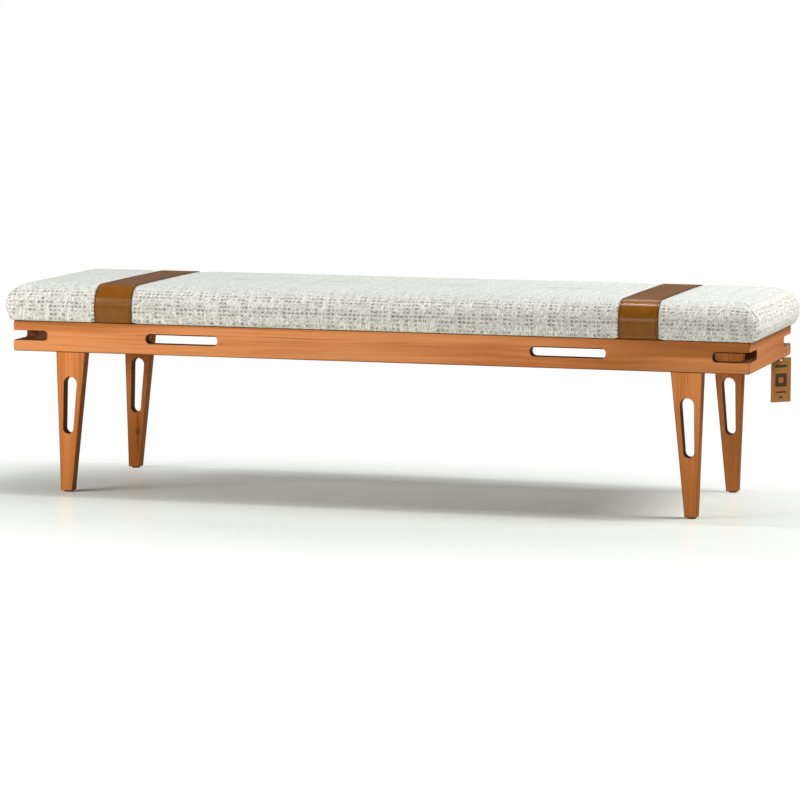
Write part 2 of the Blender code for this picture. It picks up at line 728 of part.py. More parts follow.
def make_seat_board():
    """The plywood board inside the pad, rebated underneath all round."""
    ceiling = BOARD_BOTTOM + REBATE_DEPTH
    rings = [
        flat_ring(-BOARD_SETBACK - REBATE_WIDTH, BOARD_BOTTOM),
        flat_ring(-BOARD_SETBACK - REBATE_WIDTH, ceiling),
        flat_ring(-BOARD_SETBACK, ceiling),
        flat_ring(-BOARD_SETBACK, BOARD_TOP),
    ]
    board = place_mesh("seat_board", skin_mesh("seat_board", rings, True), PLYWOOD)
    carve(board, [turned_mesh("pilot_hole", screw_profile(FIT), 12, point) for point in screw_points()])
    return board


def make_seat_foam():
    """The foam over the board, with a skirt down over the board's edges."""
    outer = pad_rings(CLOTH_THICKNESS + FIT)[1:]
    edge = -BOARD_SETBACK + FIT
    skirt = [
        flat_ring(-HALF_DEPTH, BOARD_TOP + FIT),
        flat_ring(edge, BOARD_TOP + FIT),
        flat_ring(edge, CLOTH_TOP_UNDER_BOARD + FIT),
    ]
    mesh = skin_mesh("seat_foam", skirt + outer, False)
    return place_mesh("seat_foam", mesh, FOAM, smooth=True)


def make_seat_cover():
    """The cloth over the foam, turned in under the board all round."""
    outer = pad_rings(0.0)
    inner = pad_rings(CLOTH_THICKNESS)
    mesh = skin_mesh("seat_cover", outer[::-1] + inner, False)
    return place_mesh("seat_cover", mesh, CLOTH, smooth=True)


def make_strap(name, place):
    """A leather strap over the pad, down both sides and turned in under the cloth."""
    profile = pad_profile(STRAP_TURN_IN)
    draw = STRAP_CHANNEL * STRAP_PULL
    face = inset_line(profile, draw - FIT)
    back = inset_line(profile, draw - FIT - STRAP_THICKNESS + STRAP_EASE)
    crest = inset_line(profile, draw - FIT - STRAP_THICKNESS)
    half = STRAP_WIDTH / 2.0
    section = [(-half, face), (-half, back), (STRAP_EASE - half, crest),
               (half - STRAP_EASE, crest), (half, back), (half, face)]
    rows = [(row, -1.0) for row in range(len(profile))]
    rows += [(row, 1.0) for row in reversed(range(len(profile) - 1))]
    rings = []
    for row, side in rows:
        ring = [(place + x, side * (HALF_DEPTH + line[row, 0]), line[row, 1]) for x, line in section]
        rings.append(ring)
    return place_mesh(name, skin_mesh(name, rings, True), LEATHER, smooth=True)


def make_tag_string():
    """The string's loop over the lower finger, down to the tag's hole."""
    half = STOCK / 2.0 + STRING_RADIUS + FIT
    over = SLOT_BOTTOM + STRING_RADIUS + FIT
    ease = ARRIS + STRING_RADIUS
    under = RAIL_BOTTOM - STRING_RADIUS - FIT
    bend = arc((0.0, STRING_LOW + STRING_BEND), STRING_BEND, 270.0, 302.0, 2)
    right = bend + [(half - ease / 2.0, under), (half, RAIL_BOTTOM + FIT),
                    (half, over - ease), (half - ease, over)]
    left = [(-x, z) for x, z in right[:0:-1]]
    path = np.array(right + left)
    ahead = np.roll(path, -1, axis=0) - path
    ahead /= np.linalg.norm(ahead, axis=1)[:, None]
    normals = np.stack([ahead[:, 1], -ahead[:, 0]], axis=1)
    joints = normals + np.roll(normals, 1, axis=0)
    joints /= np.linalg.norm(joints, axis=1)[:, None]
    stretch = 1.0 / np.sum(joints * normals, axis=1)
    sides = 8
    points = []
    for centre, joint, wide in zip(path, joints, stretch):
        for side in range(sides):
            turn = 2.0 * math.pi * side / sides
            out = STRING_RADIUS * math.cos(turn) * wide
            points.append((TAG_X + centre[0] + joint[0] * out,
                           TAG_Y + STRING_RADIUS * math.sin(turn),
                           centre[1] + joint[1] * out))
    faces = []
    rings = len(path)
    for ring in range(rings):
        for side in range(sides):
            low = ring * sides + side
            low_other = ring * sides + (side + 1) % sides
            high = ((ring + 1) % rings) * sides + side
            high_other = ((ring + 1) % rings) * sides + (side + 1) % sides
            faces.append((low, low_other, high_other, high))
    return place_mesh("tag_string", mesh_from_arrays("tag_string", points, faces), STRING, smooth=True)


def make_hang_tag():
    """The card that hangs on the string, turned a little towards the front."""
    half = TAG_WIDTH / 2.0
    top = TAG_HOLE_DOWN
    corners = [(half, top), (-half, top), (-half, top - TAG_HEIGHT), (half, top - TAG_HEIGHT)]
    outline = rounded_outline([(x, y, TAG_CORNER_RADIUS) for x, y in corners], 2)
    hole = arc((0.0, 0.0), TAG_HOLE_RADIUS, 0.0, 337.5, 15)
    tag = place_mesh("hang_tag", board_mesh("hang_tag", outline, TAG_THICKNESS, 0.0), CARD)
    carve(tag, [opening_mesh(hole, TAG_THICKNESS, 0.0)])
    tag.data.transform(Matrix.Rotation(math.radians(90.0), 4, "X"))
    tag.data.transform(Matrix.Rotation(TAG_TURN, 4, "Z"))
    tag.data.transform(Matrix.Translation((TAG_X, TAG_Y, TAG_HOLE_Z)))
    return tag


def main():
    """Build every piece of the bench."""
    clear_scene()
    make_long_rail("front_rail", -1.0)
    make_long_rail("back_rail", 1.0)
    make_end_rail("left_end_rail", -1.0)
    make_end_rail("right_end_rail", 1.0)
    corners = {"front_left": (-1.0, -1.0), "front_right": (1.0, -1.0),
               "back_left": (-1.0, 1.0), "back_right": (1.0, 1.0)}
    for corner, (side_x, side_y) in corners.items():
        make_leg(f"leg_{corner}", side_x, side_y)
        make_glide(f"glide_{corner}", side_x, side_y)
        tenon = tenon_box("tenon", leg_middle(side_x), side_y, 0.0)
        place_mesh(f"tenon_{corner}", tenon, BEECH)
        for level, height in zip(("lower", "upper"), finger_levels()):
            key = key_block("key", side_x, side_y, height, 0.0)
            place_mesh(f"mitre_key_{corner}_{level}", key, BEECH)
    make_battens_and_screws()
    make_seat_board()
    make_seat_foam()
    make_seat_cover()
    make_strap("strap_left", STRAP_PLACES[0])
    make_strap("strap_right", STRAP_PLACES[1])
    make_tag_string()
    make_hang_tag()


main()
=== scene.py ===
"""Dresses the upholstered bench: tweed cushion, leather straps, oiled wood, hang tag, studio.

Every piece is in metres in the model's own frame: X runs along the bench, Y from its
front to its back, Z up, with the origin on the floor under its middle.
"""

import math

import bmesh
import bpy
import numpy as np
from mathutils import Matrix, Vector


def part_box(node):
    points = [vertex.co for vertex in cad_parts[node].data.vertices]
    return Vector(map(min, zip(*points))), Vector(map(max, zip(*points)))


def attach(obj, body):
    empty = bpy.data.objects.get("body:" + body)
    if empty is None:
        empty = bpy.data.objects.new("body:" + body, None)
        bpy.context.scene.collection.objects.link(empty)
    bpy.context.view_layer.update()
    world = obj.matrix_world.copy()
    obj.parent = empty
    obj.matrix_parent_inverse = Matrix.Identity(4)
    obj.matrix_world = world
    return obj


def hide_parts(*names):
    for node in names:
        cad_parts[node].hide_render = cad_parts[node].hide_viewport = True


bl_info = {
    "name": "Strapped bench",
    "version": (1, 0, 0),
    "blender": (4, 5, 0),
    "location": "3D View > Sidebar > Bench",
    "description": "Dresses a wooden bench with a tweed cushion, leather straps and a hang tag",
    "category": "Object",
}

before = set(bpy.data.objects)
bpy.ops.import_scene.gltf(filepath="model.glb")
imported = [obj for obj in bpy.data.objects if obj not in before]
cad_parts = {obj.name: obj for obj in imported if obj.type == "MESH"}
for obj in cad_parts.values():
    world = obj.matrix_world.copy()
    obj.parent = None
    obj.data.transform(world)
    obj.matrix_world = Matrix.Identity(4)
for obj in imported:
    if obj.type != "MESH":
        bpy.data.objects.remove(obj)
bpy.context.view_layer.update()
COVER_LOW, COVER_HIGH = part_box("seat_cover")
RAIL_LOW, RAIL_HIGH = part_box("front_rail")
STRAP_LOW, STRAP_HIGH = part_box("strap_right")
TAG_LOW, TAG_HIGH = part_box("hang_tag")
HALF_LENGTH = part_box("right_end_rail")[1].x
HALF_DEPTH = -RAIL_LOW.y
STOCK = RAIL_HIGH.y - RAIL_LOW.y
STRAP_HALF_WIDTH = (STRAP_HIGH.x - STRAP_LOW.x) / 2.0
STRAP_MIDDLE = (STRAP_LOW.x + STRAP_HIGH.x) / 2.0
LEG_TOP = RAIL_LOW.z

# The cushion's half length before its bulge, and the depth of cloth under its edge
PAD_LENGTH = HALF_LENGTH + 0.0095
LIP = 0.034

# The gap between a strap and the cushion, and how far past a strap the cushion's columns keep
# their places before they close up towards its end
STRAP_GAP = 0.0002
KEEP_BEYOND_STRAP = 0.0285

# A stitch's sides, and its rings from end to end
STITCH_SIDES = 6
STITCH_RINGS = 5

# Heights over which a rail's lower finger ends, how far under a board's face its sawn edge
# starts, and how far apart two boards' figures lie in the wood's pattern
FINGER_TOP = (0.366, 0.378)
FACE_MARGIN = 0.0003
SEED_STEP = 3.7

# A leg's sides at its top, how far each slopes in by its foot, and its slot: the least and
# the greatest distance from the bench's middle, and the lowest height
LEG_OUTER = HALF_LENGTH - 0.109
LEG_INNER = HALF_LENGTH - 0.184
LEG_OUTER_SLOPE = 0.010
LEG_INNER_SLOPE = 0.036
LEG_SLOT = (HALF_LENGTH - 0.1625, HALF_LENGTH - 0.1250, 0.1380)


# Shader helpers

def math_method(operation, reflected=False):
    """A method of Shade that adds one Math node."""
    def method(self, other=0.0):
        first, second = (other, self) if reflected else (self, other)
        return self.graph.math(operation, first, second)

    return method


class Shade:
    """A shader value. Python operators on it add Math nodes to its material."""

    def __init__(self, graph, socket):
        self.graph = graph
        self.socket = socket

    __add__ = math_method("ADD")
    __radd__ = math_method("ADD", reflected=True)
    __sub__ = math_method("SUBTRACT")
    __rsub__ = math_method("SUBTRACT", reflected=True)
    __mul__ = math_method("MULTIPLY")
    __rmul__ = math_method("MULTIPLY", reflected=True)
    __abs__ = math_method("ABSOLUTE")
    above = math_method("GREATER_THAN")
    below = math_method("LESS_THAN")
    least = math_method("MINIMUM")
    most = math_method("MAXIMUM")
    sine = math_method("SINE")
    floor = math_method("FLOOR")
    power = math_method("POWER")

    def ease(self, low, high):
        """A smooth step from 0 at low to 1 at high."""
        settings = {"interpolation_type": "SMOOTHSTEP"}
        inputs = {"Value": self, "From Min": low, "From Max": high, "To Min": 0.0, "To Max": 1.0}
        return self.graph.node("ShaderNodeMapRange", settings, inputs)

    def blend(self, low, high):
        """A straight mix from low to high by the value."""
        return low + (high - low) * self

    def central(self, low, high):
        """1 at the middle of each whole-numbered cell, down to 0 between two distances from it."""
        return 1.0 - abs(self - self.floor() - 0.5).ease(low, high)


class Graph:
    """A node material under construction, with a Principled shader at its end."""

    def __init__(self, name, **constants):
        self.material = bpy.data.materials.new(name)
        self.material.use_nodes = True
        self.tree = self.material.node_tree
        self.shader = self.tree.nodes["Principled BSDF"]
        for socket, value in constants.items():
            self.shader.inputs[socket.replace("_", " ")].default_value = value

    def node(self, kind, settings=None, inputs=None, output=0):
        """Add a node: its settings first, then its inputs' values or links."""
        node = self.tree.nodes.new(kind)
        for key, value in (settings or {}).items():
            if key == "stops":
                self.set_stops(node.color_ramp, value)
            else:
                setattr(node, key, value)
        for key, value in (inputs or {}).items():
            if isinstance(value, Shade):
                self.tree.links.new(value.socket, node.inputs[key])
            else:
                node.inputs[key].default_value = value
        return Shade(self, node.outputs[output])

    @staticmethod
    def set_stops(ramp, stops):
        """Give a colour ramp its stops, as (place, colour) pairs."""
        while len(ramp.elements) < len(stops):
            ramp.elements.new(0.5)
        for element, (place, colour) in zip(ramp.elements, stops):
            element.position = place
            element.color = (*colour[:3], 1.0)

    def math(self, operation, first, second):
        """One Math node."""
        return self.node("ShaderNodeMath", {"operation": operation}, {0: first, 1: second})

    def place(self):
        """Object coordinates, as X, Y and Z values."""
        return self.split(self.node("ShaderNodeTexCoord", output="Object"))

    def uv(self):
        """The piece's own UV map, in metres, as two values."""
        return self.split(self.node("ShaderNodeUVMap", {"uv_map": "metres"}))[:2]

    def split(self, vector):
        """A vector's three parts."""
        return [self.node("ShaderNodeSeparateXYZ", None, {0: vector}, part) for part in range(3)]

    def join(self, x, y, z):
        """A vector from three parts."""
        return self.node("ShaderNodeCombineXYZ", None, {0: x, 1: y, 2: z})

    def noise(self, vector, scale=1.0, detail=2.0, roughness=0.5):
        """Smooth noise from about 0 to 1."""
        inputs = {"Vector": vector, "Scale": scale, "Detail": detail, "Roughness": roughness}
        return self.node("ShaderNodeTexNoise", None, inputs, "Fac")

    def chance(self, vector):
        """An even chance from 0 to 1, the same all over each whole-numbered cell."""
        settings = {"noise_dimensions": "3D"}
        return self.node("ShaderNodeTexWhiteNoise", settings, {"Vector": vector}, "Value")

    def cells(self, vector, scale):
        """Distance to the nearest point of a scattered set."""
        inputs = {"Vector": vector, "Scale": scale}
        return self.node("ShaderNodeTexVoronoi", {"feature": "F1"}, inputs, "Distance")

    def mix(self, share, low, high, blend="MIX"):
        """A colour between two colours."""
        low = low if isinstance(low, Shade) else (*low[:3], 1.0)
        high = high if isinstance(high, Shade) else (*high[:3], 1.0)
        settings = {"data_type": "RGBA", "blend_type": blend}
        return self.node("ShaderNodeMix", settings, {0: share, 6: low, 7: high}, 2)

    def ramp(self, value, stops):
        """A colour ramp over a value."""
        return self.node("ShaderNodeValToRGB", {"stops": stops}, {0: value}, "Color")

    def bump(self, height, distance, strength):
        """A Bump node from a height between 0 and 1 and its depth in metres."""
        inputs = {"Height": height, "Distance": distance, "Strength": strength}
        return self.node("ShaderNodeBump", None, inputs)

    def feed(self, **links):
        """Link values into the shader's sockets."""
        for socket, value in links.items():
            self.tree.links.new(value.socket, self.shader.inputs[socket.replace("_", " ")])
        return self.material


# Mesh helpers

def grid_mesh(name, points, closed=False, uv=None):
    """A mesh over a grid of points, of shape (rows, columns, 3), with its UVs in metres.

    Face (i, j) joins points (i, j), (i, j+1), (i+1, j+1) and (i+1, j), with the next column
    counted round where the grid is closed. uv has one (u, v) per face corner, of shape
    (faces, 4, 2).
    """
    rows, columns = points.shape[:2]
    first = np.arange(rows - 1)[:, None] * columns
    column = np.arange(columns - (not closed))
    following = (column + 1) % columns
    quads = np.stack([first + column, first + following, first + columns + following,
                      first + columns + column], axis=-1)
    mesh = bpy.data.meshes.new(name)
    mesh.from_pydata(points.reshape(-1, 3).tolist(), [], quads.reshape(-1, 4).tolist())
    if uv is not None:
        layer = mesh.uv_layers.new(name="metres")
        layer.data.foreach_set("uv", uv.reshape(-1).astype(np.float32))
    mesh.shade_smooth()
    return mesh


def corner_uv(sheet):
    """The (u, v) of each face's corners, from a sheet of them over a closed grid's points."""
    beside = np.roll(sheet, -1, axis=1)
    return np.stack([sheet[:-1], beside[:-1], beside[1:], sheet[1:]], 2)


def tidy_mesh(mesh, distance=2e-6):
    """Join the points that meet, and turn the faces outwards."""
    shape = bmesh.new()
    shape.from_mesh(mesh)
    bmesh.ops.remove_doubles(shape, verts=shape.verts, dist=distance)
    bmesh.ops.dissolve_degenerate(shape, edges=shape.edges, dist=distance)
    bmesh.ops.recalc_face_normals(shape, faces=shape.faces)
    shape.to_mesh(mesh)
    shape.free()
    return mesh


def add_object(name, data):
    """Put something in the scene, at the origin and unturned."""
    thing = bpy.data.objects.new(name, data)
    bpy.context.scene.collection.objects.link(thing)
    return thing


def add_piece(name, mesh, material):
    """Put a finished mesh in the scene as a piece that rides on the bench."""
    mesh.materials.append(material)
    piece = add_object(name, mesh)
    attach(piece, "bench")
    return piece


def paint(node, material):
    """Give a node of the frame a finished material."""
    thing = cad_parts[node]
    for slot in thing.material_slots:
        slot.material = material
    if not thing.material_slots:
        thing.data.materials.append(material)


def settings(name):
    """The scene's settings of one kind."""
    return getattr(bpy.context.scene, name)


# Shape of the cushion

def cushion_profile(pad):
    """The cushion's outer line, as (outset, height) points from its lip to the middle of its top.

    The lip runs out level, sags over the rail, turns up round a small radius, swells to the
    bulge, goes over nearly a quarter of a circle and rises along a quarter sine to the crown.
    """
    low = COVER_LOW.z
    side = low + pad.side_height
    corner = pad.edge_overhang - pad.edge_radius
    lip_at = np.array([-LIP, -0.020, -0.013, -0.0095, -0.006, 0.0, corner])
    lip = np.stack([lip_at, low - pad.edge_sag * smooth_step((lip_at + 0.013) / 0.007)], 1)
    turn = np.radians(np.linspace(-90.0, -20.0, 7)[1:])
    ease = np.stack([corner + pad.edge_radius * np.cos(turn),
                     low - pad.edge_sag + pad.edge_radius * (1.0 + np.sin(turn))], 1)
    share = np.linspace(0.0, 1.0, 9)[1:]
    start = ease[-1]
    swell = np.stack([start[0] + (pad.bulge - start[0]) * np.sin(share * math.pi / 2.0) ** 0.9,
                      start[1] + (side - start[1]) * share], 1)
    angle = np.radians(np.linspace(0.0, 84.0, 11)[1:])
    over = np.stack([pad.bulge + pad.top_radius * (np.cos(angle) - 1.0),
                     side + pad.top_radius * np.sin(angle)], 1)
    inner, edge = over[-1]
    share = np.linspace(0.0, 1.0, 21)[1:]
    crown = np.stack([inner - share * (HALF_DEPTH + inner),
                      edge + (COVER_HIGH.z - edge) * np.sin(share * math.pi / 2.0)], 1)
    return np.vstack([lip, ease, swell, over, crown])


def inward(line):
    """Unit vectors square to a line of (outset, height) points, to its inner side."""
    run = np.gradient(line, axis=0)
    run /= np.linalg.norm(run, axis=1)[:, None]
    return np.stack([-run[:, 1], run[:, 0]], 1)


def running_length(line):
    """The length along a line of points, from its start to each point."""
    return np.append(0.0, np.cumsum(np.linalg.norm(np.diff(line, axis=0), axis=1)))


def smooth_step(value):
    """3 v squared less 2 v cubed, with v held between 0 and 1."""
    value = np.clip(value, 0.0, 1.0)
    return value * value * (3.0 - 2.0 * value)


def near_strap(x, blend):
    """1 under a strap, and down to 0 over a blend beside it."""
    beyond = np.abs(np.abs(x) - STRAP_MIDDLE) - STRAP_HALF_WIDTH
    return smooth_step(1.0 - beyond / blend)


def cushion_columns(pad):
    """Columns round the cushion, anticlockwise from above, as rows of kind, side in X, side in Y and place.

    kind is 0 on a long side, 1 on a corner and 2 on an end. place is X on a side, the turn
    in radians from the side's normal on a corner, and the share of the half depth on an end.
    """
    inner, outer = STRAP_LOW.x, STRAP_HIGH.x
    reach = PAD_LENGTH + pad.bulge - pad.plan_radius
    stops = (0.0, inner - 0.020, inner, outer, outer + 0.020, reach)
    right = np.concatenate([np.linspace(start, end, count)[:-1]
                            for start, end, count in zip(stops, stops[1:], (54, 6, 10, 6, 17))])
    stations = np.concatenate([-right[:0:-1], right])
    turn = np.radians(np.linspace(0.0, 90.0, 9))
    shares = np.linspace(-1.0, 1.0, 44)[1:-1]
    runs = [
        (0, 0.0, -1.0, stations), (1, 1.0, -1.0, turn), (2, 1.0, 0.0, shares), (1, 1.0, 1.0, turn[::-1]),
        (0, 0.0, 1.0, stations[::-1]), (1, -1.0, 1.0, turn), (2, -1.0, 0.0, shares[::-1]),
        (1, -1.0, -1.0, turn[::-1]),
    ]
    return np.hstack([np.broadcast_arrays(*run) for run in runs])


def cushion_surface(pad, slack):
    """The cushion's grid of points, its UVs, each column's share of a strap and each row's height.

    Each column carries the profile outwards from the frame's sides. A strap's channel, a
    corner's pull and its seam move the profile in, square to itself. One UV sheet unrolls
    the long sides over the top, the other unrolls the ends.
    """
    profile = cushion_profile(pad)
    square = inward(profile)
    height = profile[:, 1]
    low = COVER_LOW.z
    kind, side_x, side_y, place = cushion_columns(pad)

    def by_kind(side, corner, end):
        return np.select([kind == 0, kind == 1], [side, corner], end)

    strap = near_strap(place, pad.channel_blend) * (kind == 0)
    on_side = smooth_step((height - low) / 0.012)[:, None]
    to_top = smooth_step((profile[:, 0] + 0.09) / 0.09)[:, None]
    corner = np.where(kind == 1, np.sin(2.0 * place), 0.0)
    seam = np.where(kind == 1, np.exp(-((place - math.pi / 4.0) / 0.10) ** 2), 0.0)
    draw = pad.channel * strap * on_side
    draw = draw + on_side * to_top * (pad.corner_pull * corner + pad.seam_depth * seam)
    draw = draw + slack * (1.0 - strap) * on_side
    along = np.where(kind == 0, place, side_x * PAD_LENGTH)
    wave = np.sin(along * 11.0 + 0.7) + 0.7 * np.sin(along * 23.0 + side_y * 2.0)
    wave = wave + 0.5 * np.sin(along * 41.0)
    draw = draw + pad.unevenness * wave * (1.0 - strap) * on_side * (kind != 1)
    outset = profile[:, :1] + square[:, :1] * draw
    z = profile[:, 1:] + square[:, 1:] * draw
    hanging = smooth_step((profile[:, :1] + 0.013) / 0.007) * (1.0 - smooth_step((z - low) / 0.014))
    z = z - pad.edge_drop * (1.0 - strap) * hanging
    outset[-1] = -HALF_DEPTH
    share = np.clip((-outset - pad.top_radius) / (HALF_DEPTH - pad.top_radius), 0.0, 1.0)
    run = np.where(share > 0.0, -pad.top_radius - share * (pad.end_run - pad.top_radius), outset)
    tuck = pad.end_tuck * smooth_step((outset + LIP) / 0.020) * (1.0 - smooth_step((z - low) / 0.016))
    half_x = PAD_LENGTH + run - tuck
    half_y = HALF_DEPTH + outset
    radius = np.minimum(np.maximum(pad.plan_radius + outset - pad.bulge, 0.004), half_y)
    keep = STRAP_HIGH.x + KEEP_BEYOND_STRAP
    reach = PAD_LENGTH + pad.bulge - pad.plan_radius
    beyond = np.abs(place) - keep
    squeezed = keep + beyond * (half_x - radius - keep) / (reach - keep)
    side_at = np.sign(place) * np.where(beyond > 0.0, squeezed, np.abs(place))
    x = by_kind(side_at, side_x * (half_x - radius + radius * np.sin(place)), side_x * half_x)
    y = by_kind(side_y * half_y, side_y * (half_y - radius + radius * np.cos(place)),
                place * (half_y - radius))
    fall = smooth_step((np.abs(x) - PAD_LENGTH + 0.075) / 0.085)
    z = z - pad.end_fall * (fall * smooth_step((z - low) / (COVER_HIGH.z - low)))
    length = running_length(profile)
    girth = (length[-1] - length)[:, None]
    edge = girth - HALF_DEPTH - profile[:, :1]
    round_x = side_x * (half_x - radius + radius * place)
    round_y = side_y * (half_y - radius + radius * (math.pi / 2.0 - place))
    side_uv = np.stack([by_kind(side_at, round_x, x), np.where(kind == 2, y, side_y * girth)], -1)
    end_uv = np.stack([np.where(kind == 0, x, side_x * (half_x + tuck + edge)),
                       np.where(kind == 1, round_y, y)], -1)
    to_end = (kind == 2) | ((kind == 1) & (place > math.pi / 4.0 - 1e-6))
    ended = (to_end & np.roll(to_end, -1))[None, :, None, None]
    uv = np.where(ended, corner_uv(end_uv), corner_uv(side_uv))
    return np.stack([x, y, z], -1), uv, strap, height


def swell(piece, held, pressure, cap, frames=20):
    """Swell a piece with a cloth simulation, held by weights, and cap how far a point moves."""
    group = piece.vertex_groups.new(name="held")
    for level in np.unique(np.round(held, 2)):
        group.add(np.nonzero(np.round(held, 2) == level)[0].tolist(), float(level), "REPLACE")
    cloth = piece.modifiers.new("swelling", "CLOTH")
    choices = {
        "quality": 5, "mass": 0.3, "tension_stiffness": 25.0, "compression_stiffness": 25.0,
        "bending_stiffness": 3.0, "use_pressure": True, "uniform_pressure_force": pressure,
        "vertex_group_mass": "held", "pin_stiffness": 1.0,
    }
    for key, value in choices.items():
        setattr(cloth.settings, key, value)
    cloth.settings.effector_weights.gravity = 0.0
    cloth.collision_settings.use_collision = False
    scene = bpy.context.scene
    for step in range(1, frames + 1):
        scene.frame_set(step)
    count = len(piece.data.vertices)
    before = np.empty(count * 3)
    piece.data.vertices.foreach_get("co", before)
    after = np.empty(count * 3)
    swollen = piece.evaluated_get(bpy.context.evaluated_depsgraph_get())
    swollen.data.vertices.foreach_get("co", after)
    moved = (after - before).reshape(-1, 3)
    length = np.linalg.norm(moved, axis=1, keepdims=True)
    moved *= np.minimum(1.0, cap / np.maximum(length, 1e-9))
    piece.modifiers.remove(cloth)
    scene.frame_set(1)
    piece.vertex_groups.remove(group)
    piece.data.vertices.foreach_set("co", (before.reshape(-1, 3) + moved).ravel())
    piece.data.update()


def finer(piece):
    """Smooth a piece by one subdivision."""
    subdivision = piece.modifiers.new("smooth", "SUBSURF")
    subdivision.levels = 1
    subdivision.render_levels = 1


def strap_path(pad, lift):
    """A strap's line from its front lip over the top to its back lip, as (y, z) points."""
    profile = cushion_profile(pad)
    on_side = smooth_step((profile[:, 1] - COVER_LOW.z) / 0.012)[:, None]
    line = profile + inward(profile) * (pad.channel * on_side - lift)
    front = np.stack([-(HALF_DEPTH + line[:, 0]), line[:, 1]], 1)
    front[-1, 0] = 0.0
    return np.vstack([front, front[-2::-1] * (-1.0, 1.0)])


# Materials

def shade_length(g, colour, look, along, up, darker):
    """Darken a length of a board, as the wood's own tone on some boards and as painted shade on others.

    darker gives the places along the board where the darker length starts and is full, and
    its strength. Two more places are where its lower finger starts to be pale and is fully so.
    """
    start, full, strength, *pale_at = darker
    shade = along.ease(start, full) * strength
    if not pale_at:
        return g.mix(shade, colour, look.shade)
    pale = along.ease(*pale_at) * (1.0 - up.ease(*FINGER_TOP))
    colour = g.mix(shade * (1.0 - pale), colour, look.shade)
    return g.mix(pale * 0.65, colour, look.light)


def knot_shape(along, up, knot):
    """A knot's heart with its short line, and how far the figure bends round it."""
    past, beside = abs(along - knot[0]), abs(up - knot[1])
    reach = ((past * 0.5).power(2.0) + beside.power(2.0)).power(0.5)
    line = (1.0 - beside.ease(0.0010, 0.0060)) * (1.0 - past.ease(0.02, 0.08))
    heart = (1.0 - reach.ease(0.0030, 0.0095)).most(line * 0.75)
    return heart, (1.0 - reach.ease(0.0, 0.030)) * 0.010


def board_edges(g, colour, look, fine, place, faces, leg):
    """Paint shade into a board: a dark line along its rim, darker sawn edges and, on a rail,
    a darker inner face.

    What lies between the places of the two faces is sawn edge. Its darkness is partly end
    grain and partly painted shade in the slots and openings. The line along a rail's lower
    edge and a leg's sides is painted shade, and so is a rail's darker inner face. On a leg
    only the slot's edges are as dark as a rail's; its other sawn edges take the side colour,
    also painted shade, and the wood is warmer.
    """
    along, across, up = place
    thickness = abs(across)
    inner, outer = faces[0] + FACE_MARGIN, faces[1] - FACE_MARGIN
    edge = thickness.above(inner) * thickness.below(outer)
    # Sawn edges darker: partly end grain, partly painted shade in the slots and openings
    sawn_edge_and_shade = edge * fine.blend(0.80, 1.0)
    if leg:
        fallen = (LEG_TOP - along) * (1.0 / LEG_TOP)
        outer_rim = LEG_OUTER - fallen * LEG_OUTER_SLOPE - abs(up)
        rim = outer_rim.least(abs(up) - LEG_INNER - fallen * LEG_INNER_SLOPE)
    else:
        rim = up - RAIL_LOW.z
    # Painted shade: a dark line along a rail's lower edge and a leg's sides
    colour = g.mix((1.0 - rim.ease(0.0010, 0.0034)) * 0.55, colour, look.edge)
    if leg:
        colour = g.mix(1.0, colour, look.warmth, "MULTIPLY")
        near = abs(up).above(LEG_SLOT[0]) * abs(up).below(LEG_SLOT[1]) * along.above(LEG_SLOT[2])
        # Painted shade on a leg's outer sawn edges
        colour = g.mix(edge * (1.0 - near) * fine.blend(0.70, 0.95), colour, look.side)
        sawn_edge_and_shade = sawn_edge_and_shade * near
    else:
        # Painted shade on a rail's inner face
        colour = g.mix(thickness.below(inner) * 0.6, colour, look.edge)
    return g.mix(sawn_edge_and_shade, colour, look.edge), edge


def wood_material(name, look, grain, seed=0.0, faces=None, darker=None, knot=None):
    """Oiled hardwood: broad figure, streaks, fine grain and pores along the board.

    faces gives the places of the board's two faces, darker its darker length, and knot a
    knot's place along and up the board.
    """
    g = Graph(name, Specular_IOR_Level=0.22)
    x, y, z = g.place()
    place = {"X": (x, y, z), "Y": (y, x, z), "Z": (z, y, x)}[grain]
    along, across, up = place
    heart, bend = knot_shape(along, up, knot) if knot else (0.0, 0.0)
    along = along + seed
    sway = g.noise(g.join(along * 1.9, up * 5.0, across * 5.0)) - 0.5
    ring_at = up + sway * 0.030 + bend

    def figure(length, height, depth, detail=2.0, roughness=0.5):
        return g.noise(g.join(along * length, ring_at * height, across * depth), 1.0, detail, roughness)

    broad = figure(0.9, 34.0, 30.0)
    rings = figure(1.6, 130.0, 90.0, 3.0, 0.6)
    fine = figure(10.0, 620.0, 420.0, 3.0, 0.65)
    pores = figure(46.0, 1500.0, 1500.0, 2.0, 0.6).ease(0.60, 0.74)
    streak = g.noise(g.join(along * 2.4, ring_at * 210.0, across * 120.0 + 9.0)).ease(0.60, 0.74)
    slow = g.noise(g.join(along * 2.1, up * 9.0, across * 6.0))
    value = broad * 0.56 + rings * 0.40 + fine * 0.22 + slow * 0.36 - 0.27
    colour = g.ramp(value, [(0.30, look.dark), (0.46, look.middle), (0.62, look.light)])
    colour = g.mix(streak * 0.62, colour, look.dark)
    colour = g.mix(pores * 0.34, colour, look.pore)
    rough = fine.blend(0.36, 0.52)
    if darker:
        colour = shade_length(g, colour, look, place[0], up, darker)
    if knot:
        colour = g.mix(heart * 0.85, colour, look.edge)
    if faces:
        colour, edge = board_edges(g, colour, look, fine, place, faces, grain == "Z")
        rough = rough + edge * 0.3
    else:
        rough = rough + pores * 0.12
    height = fine * 0.5 + pores * -0.6 + rings * 0.3
    return g.feed(Base_Color=colour, Roughness=rough, Normal=g.bump(height, 0.00012, 0.35))


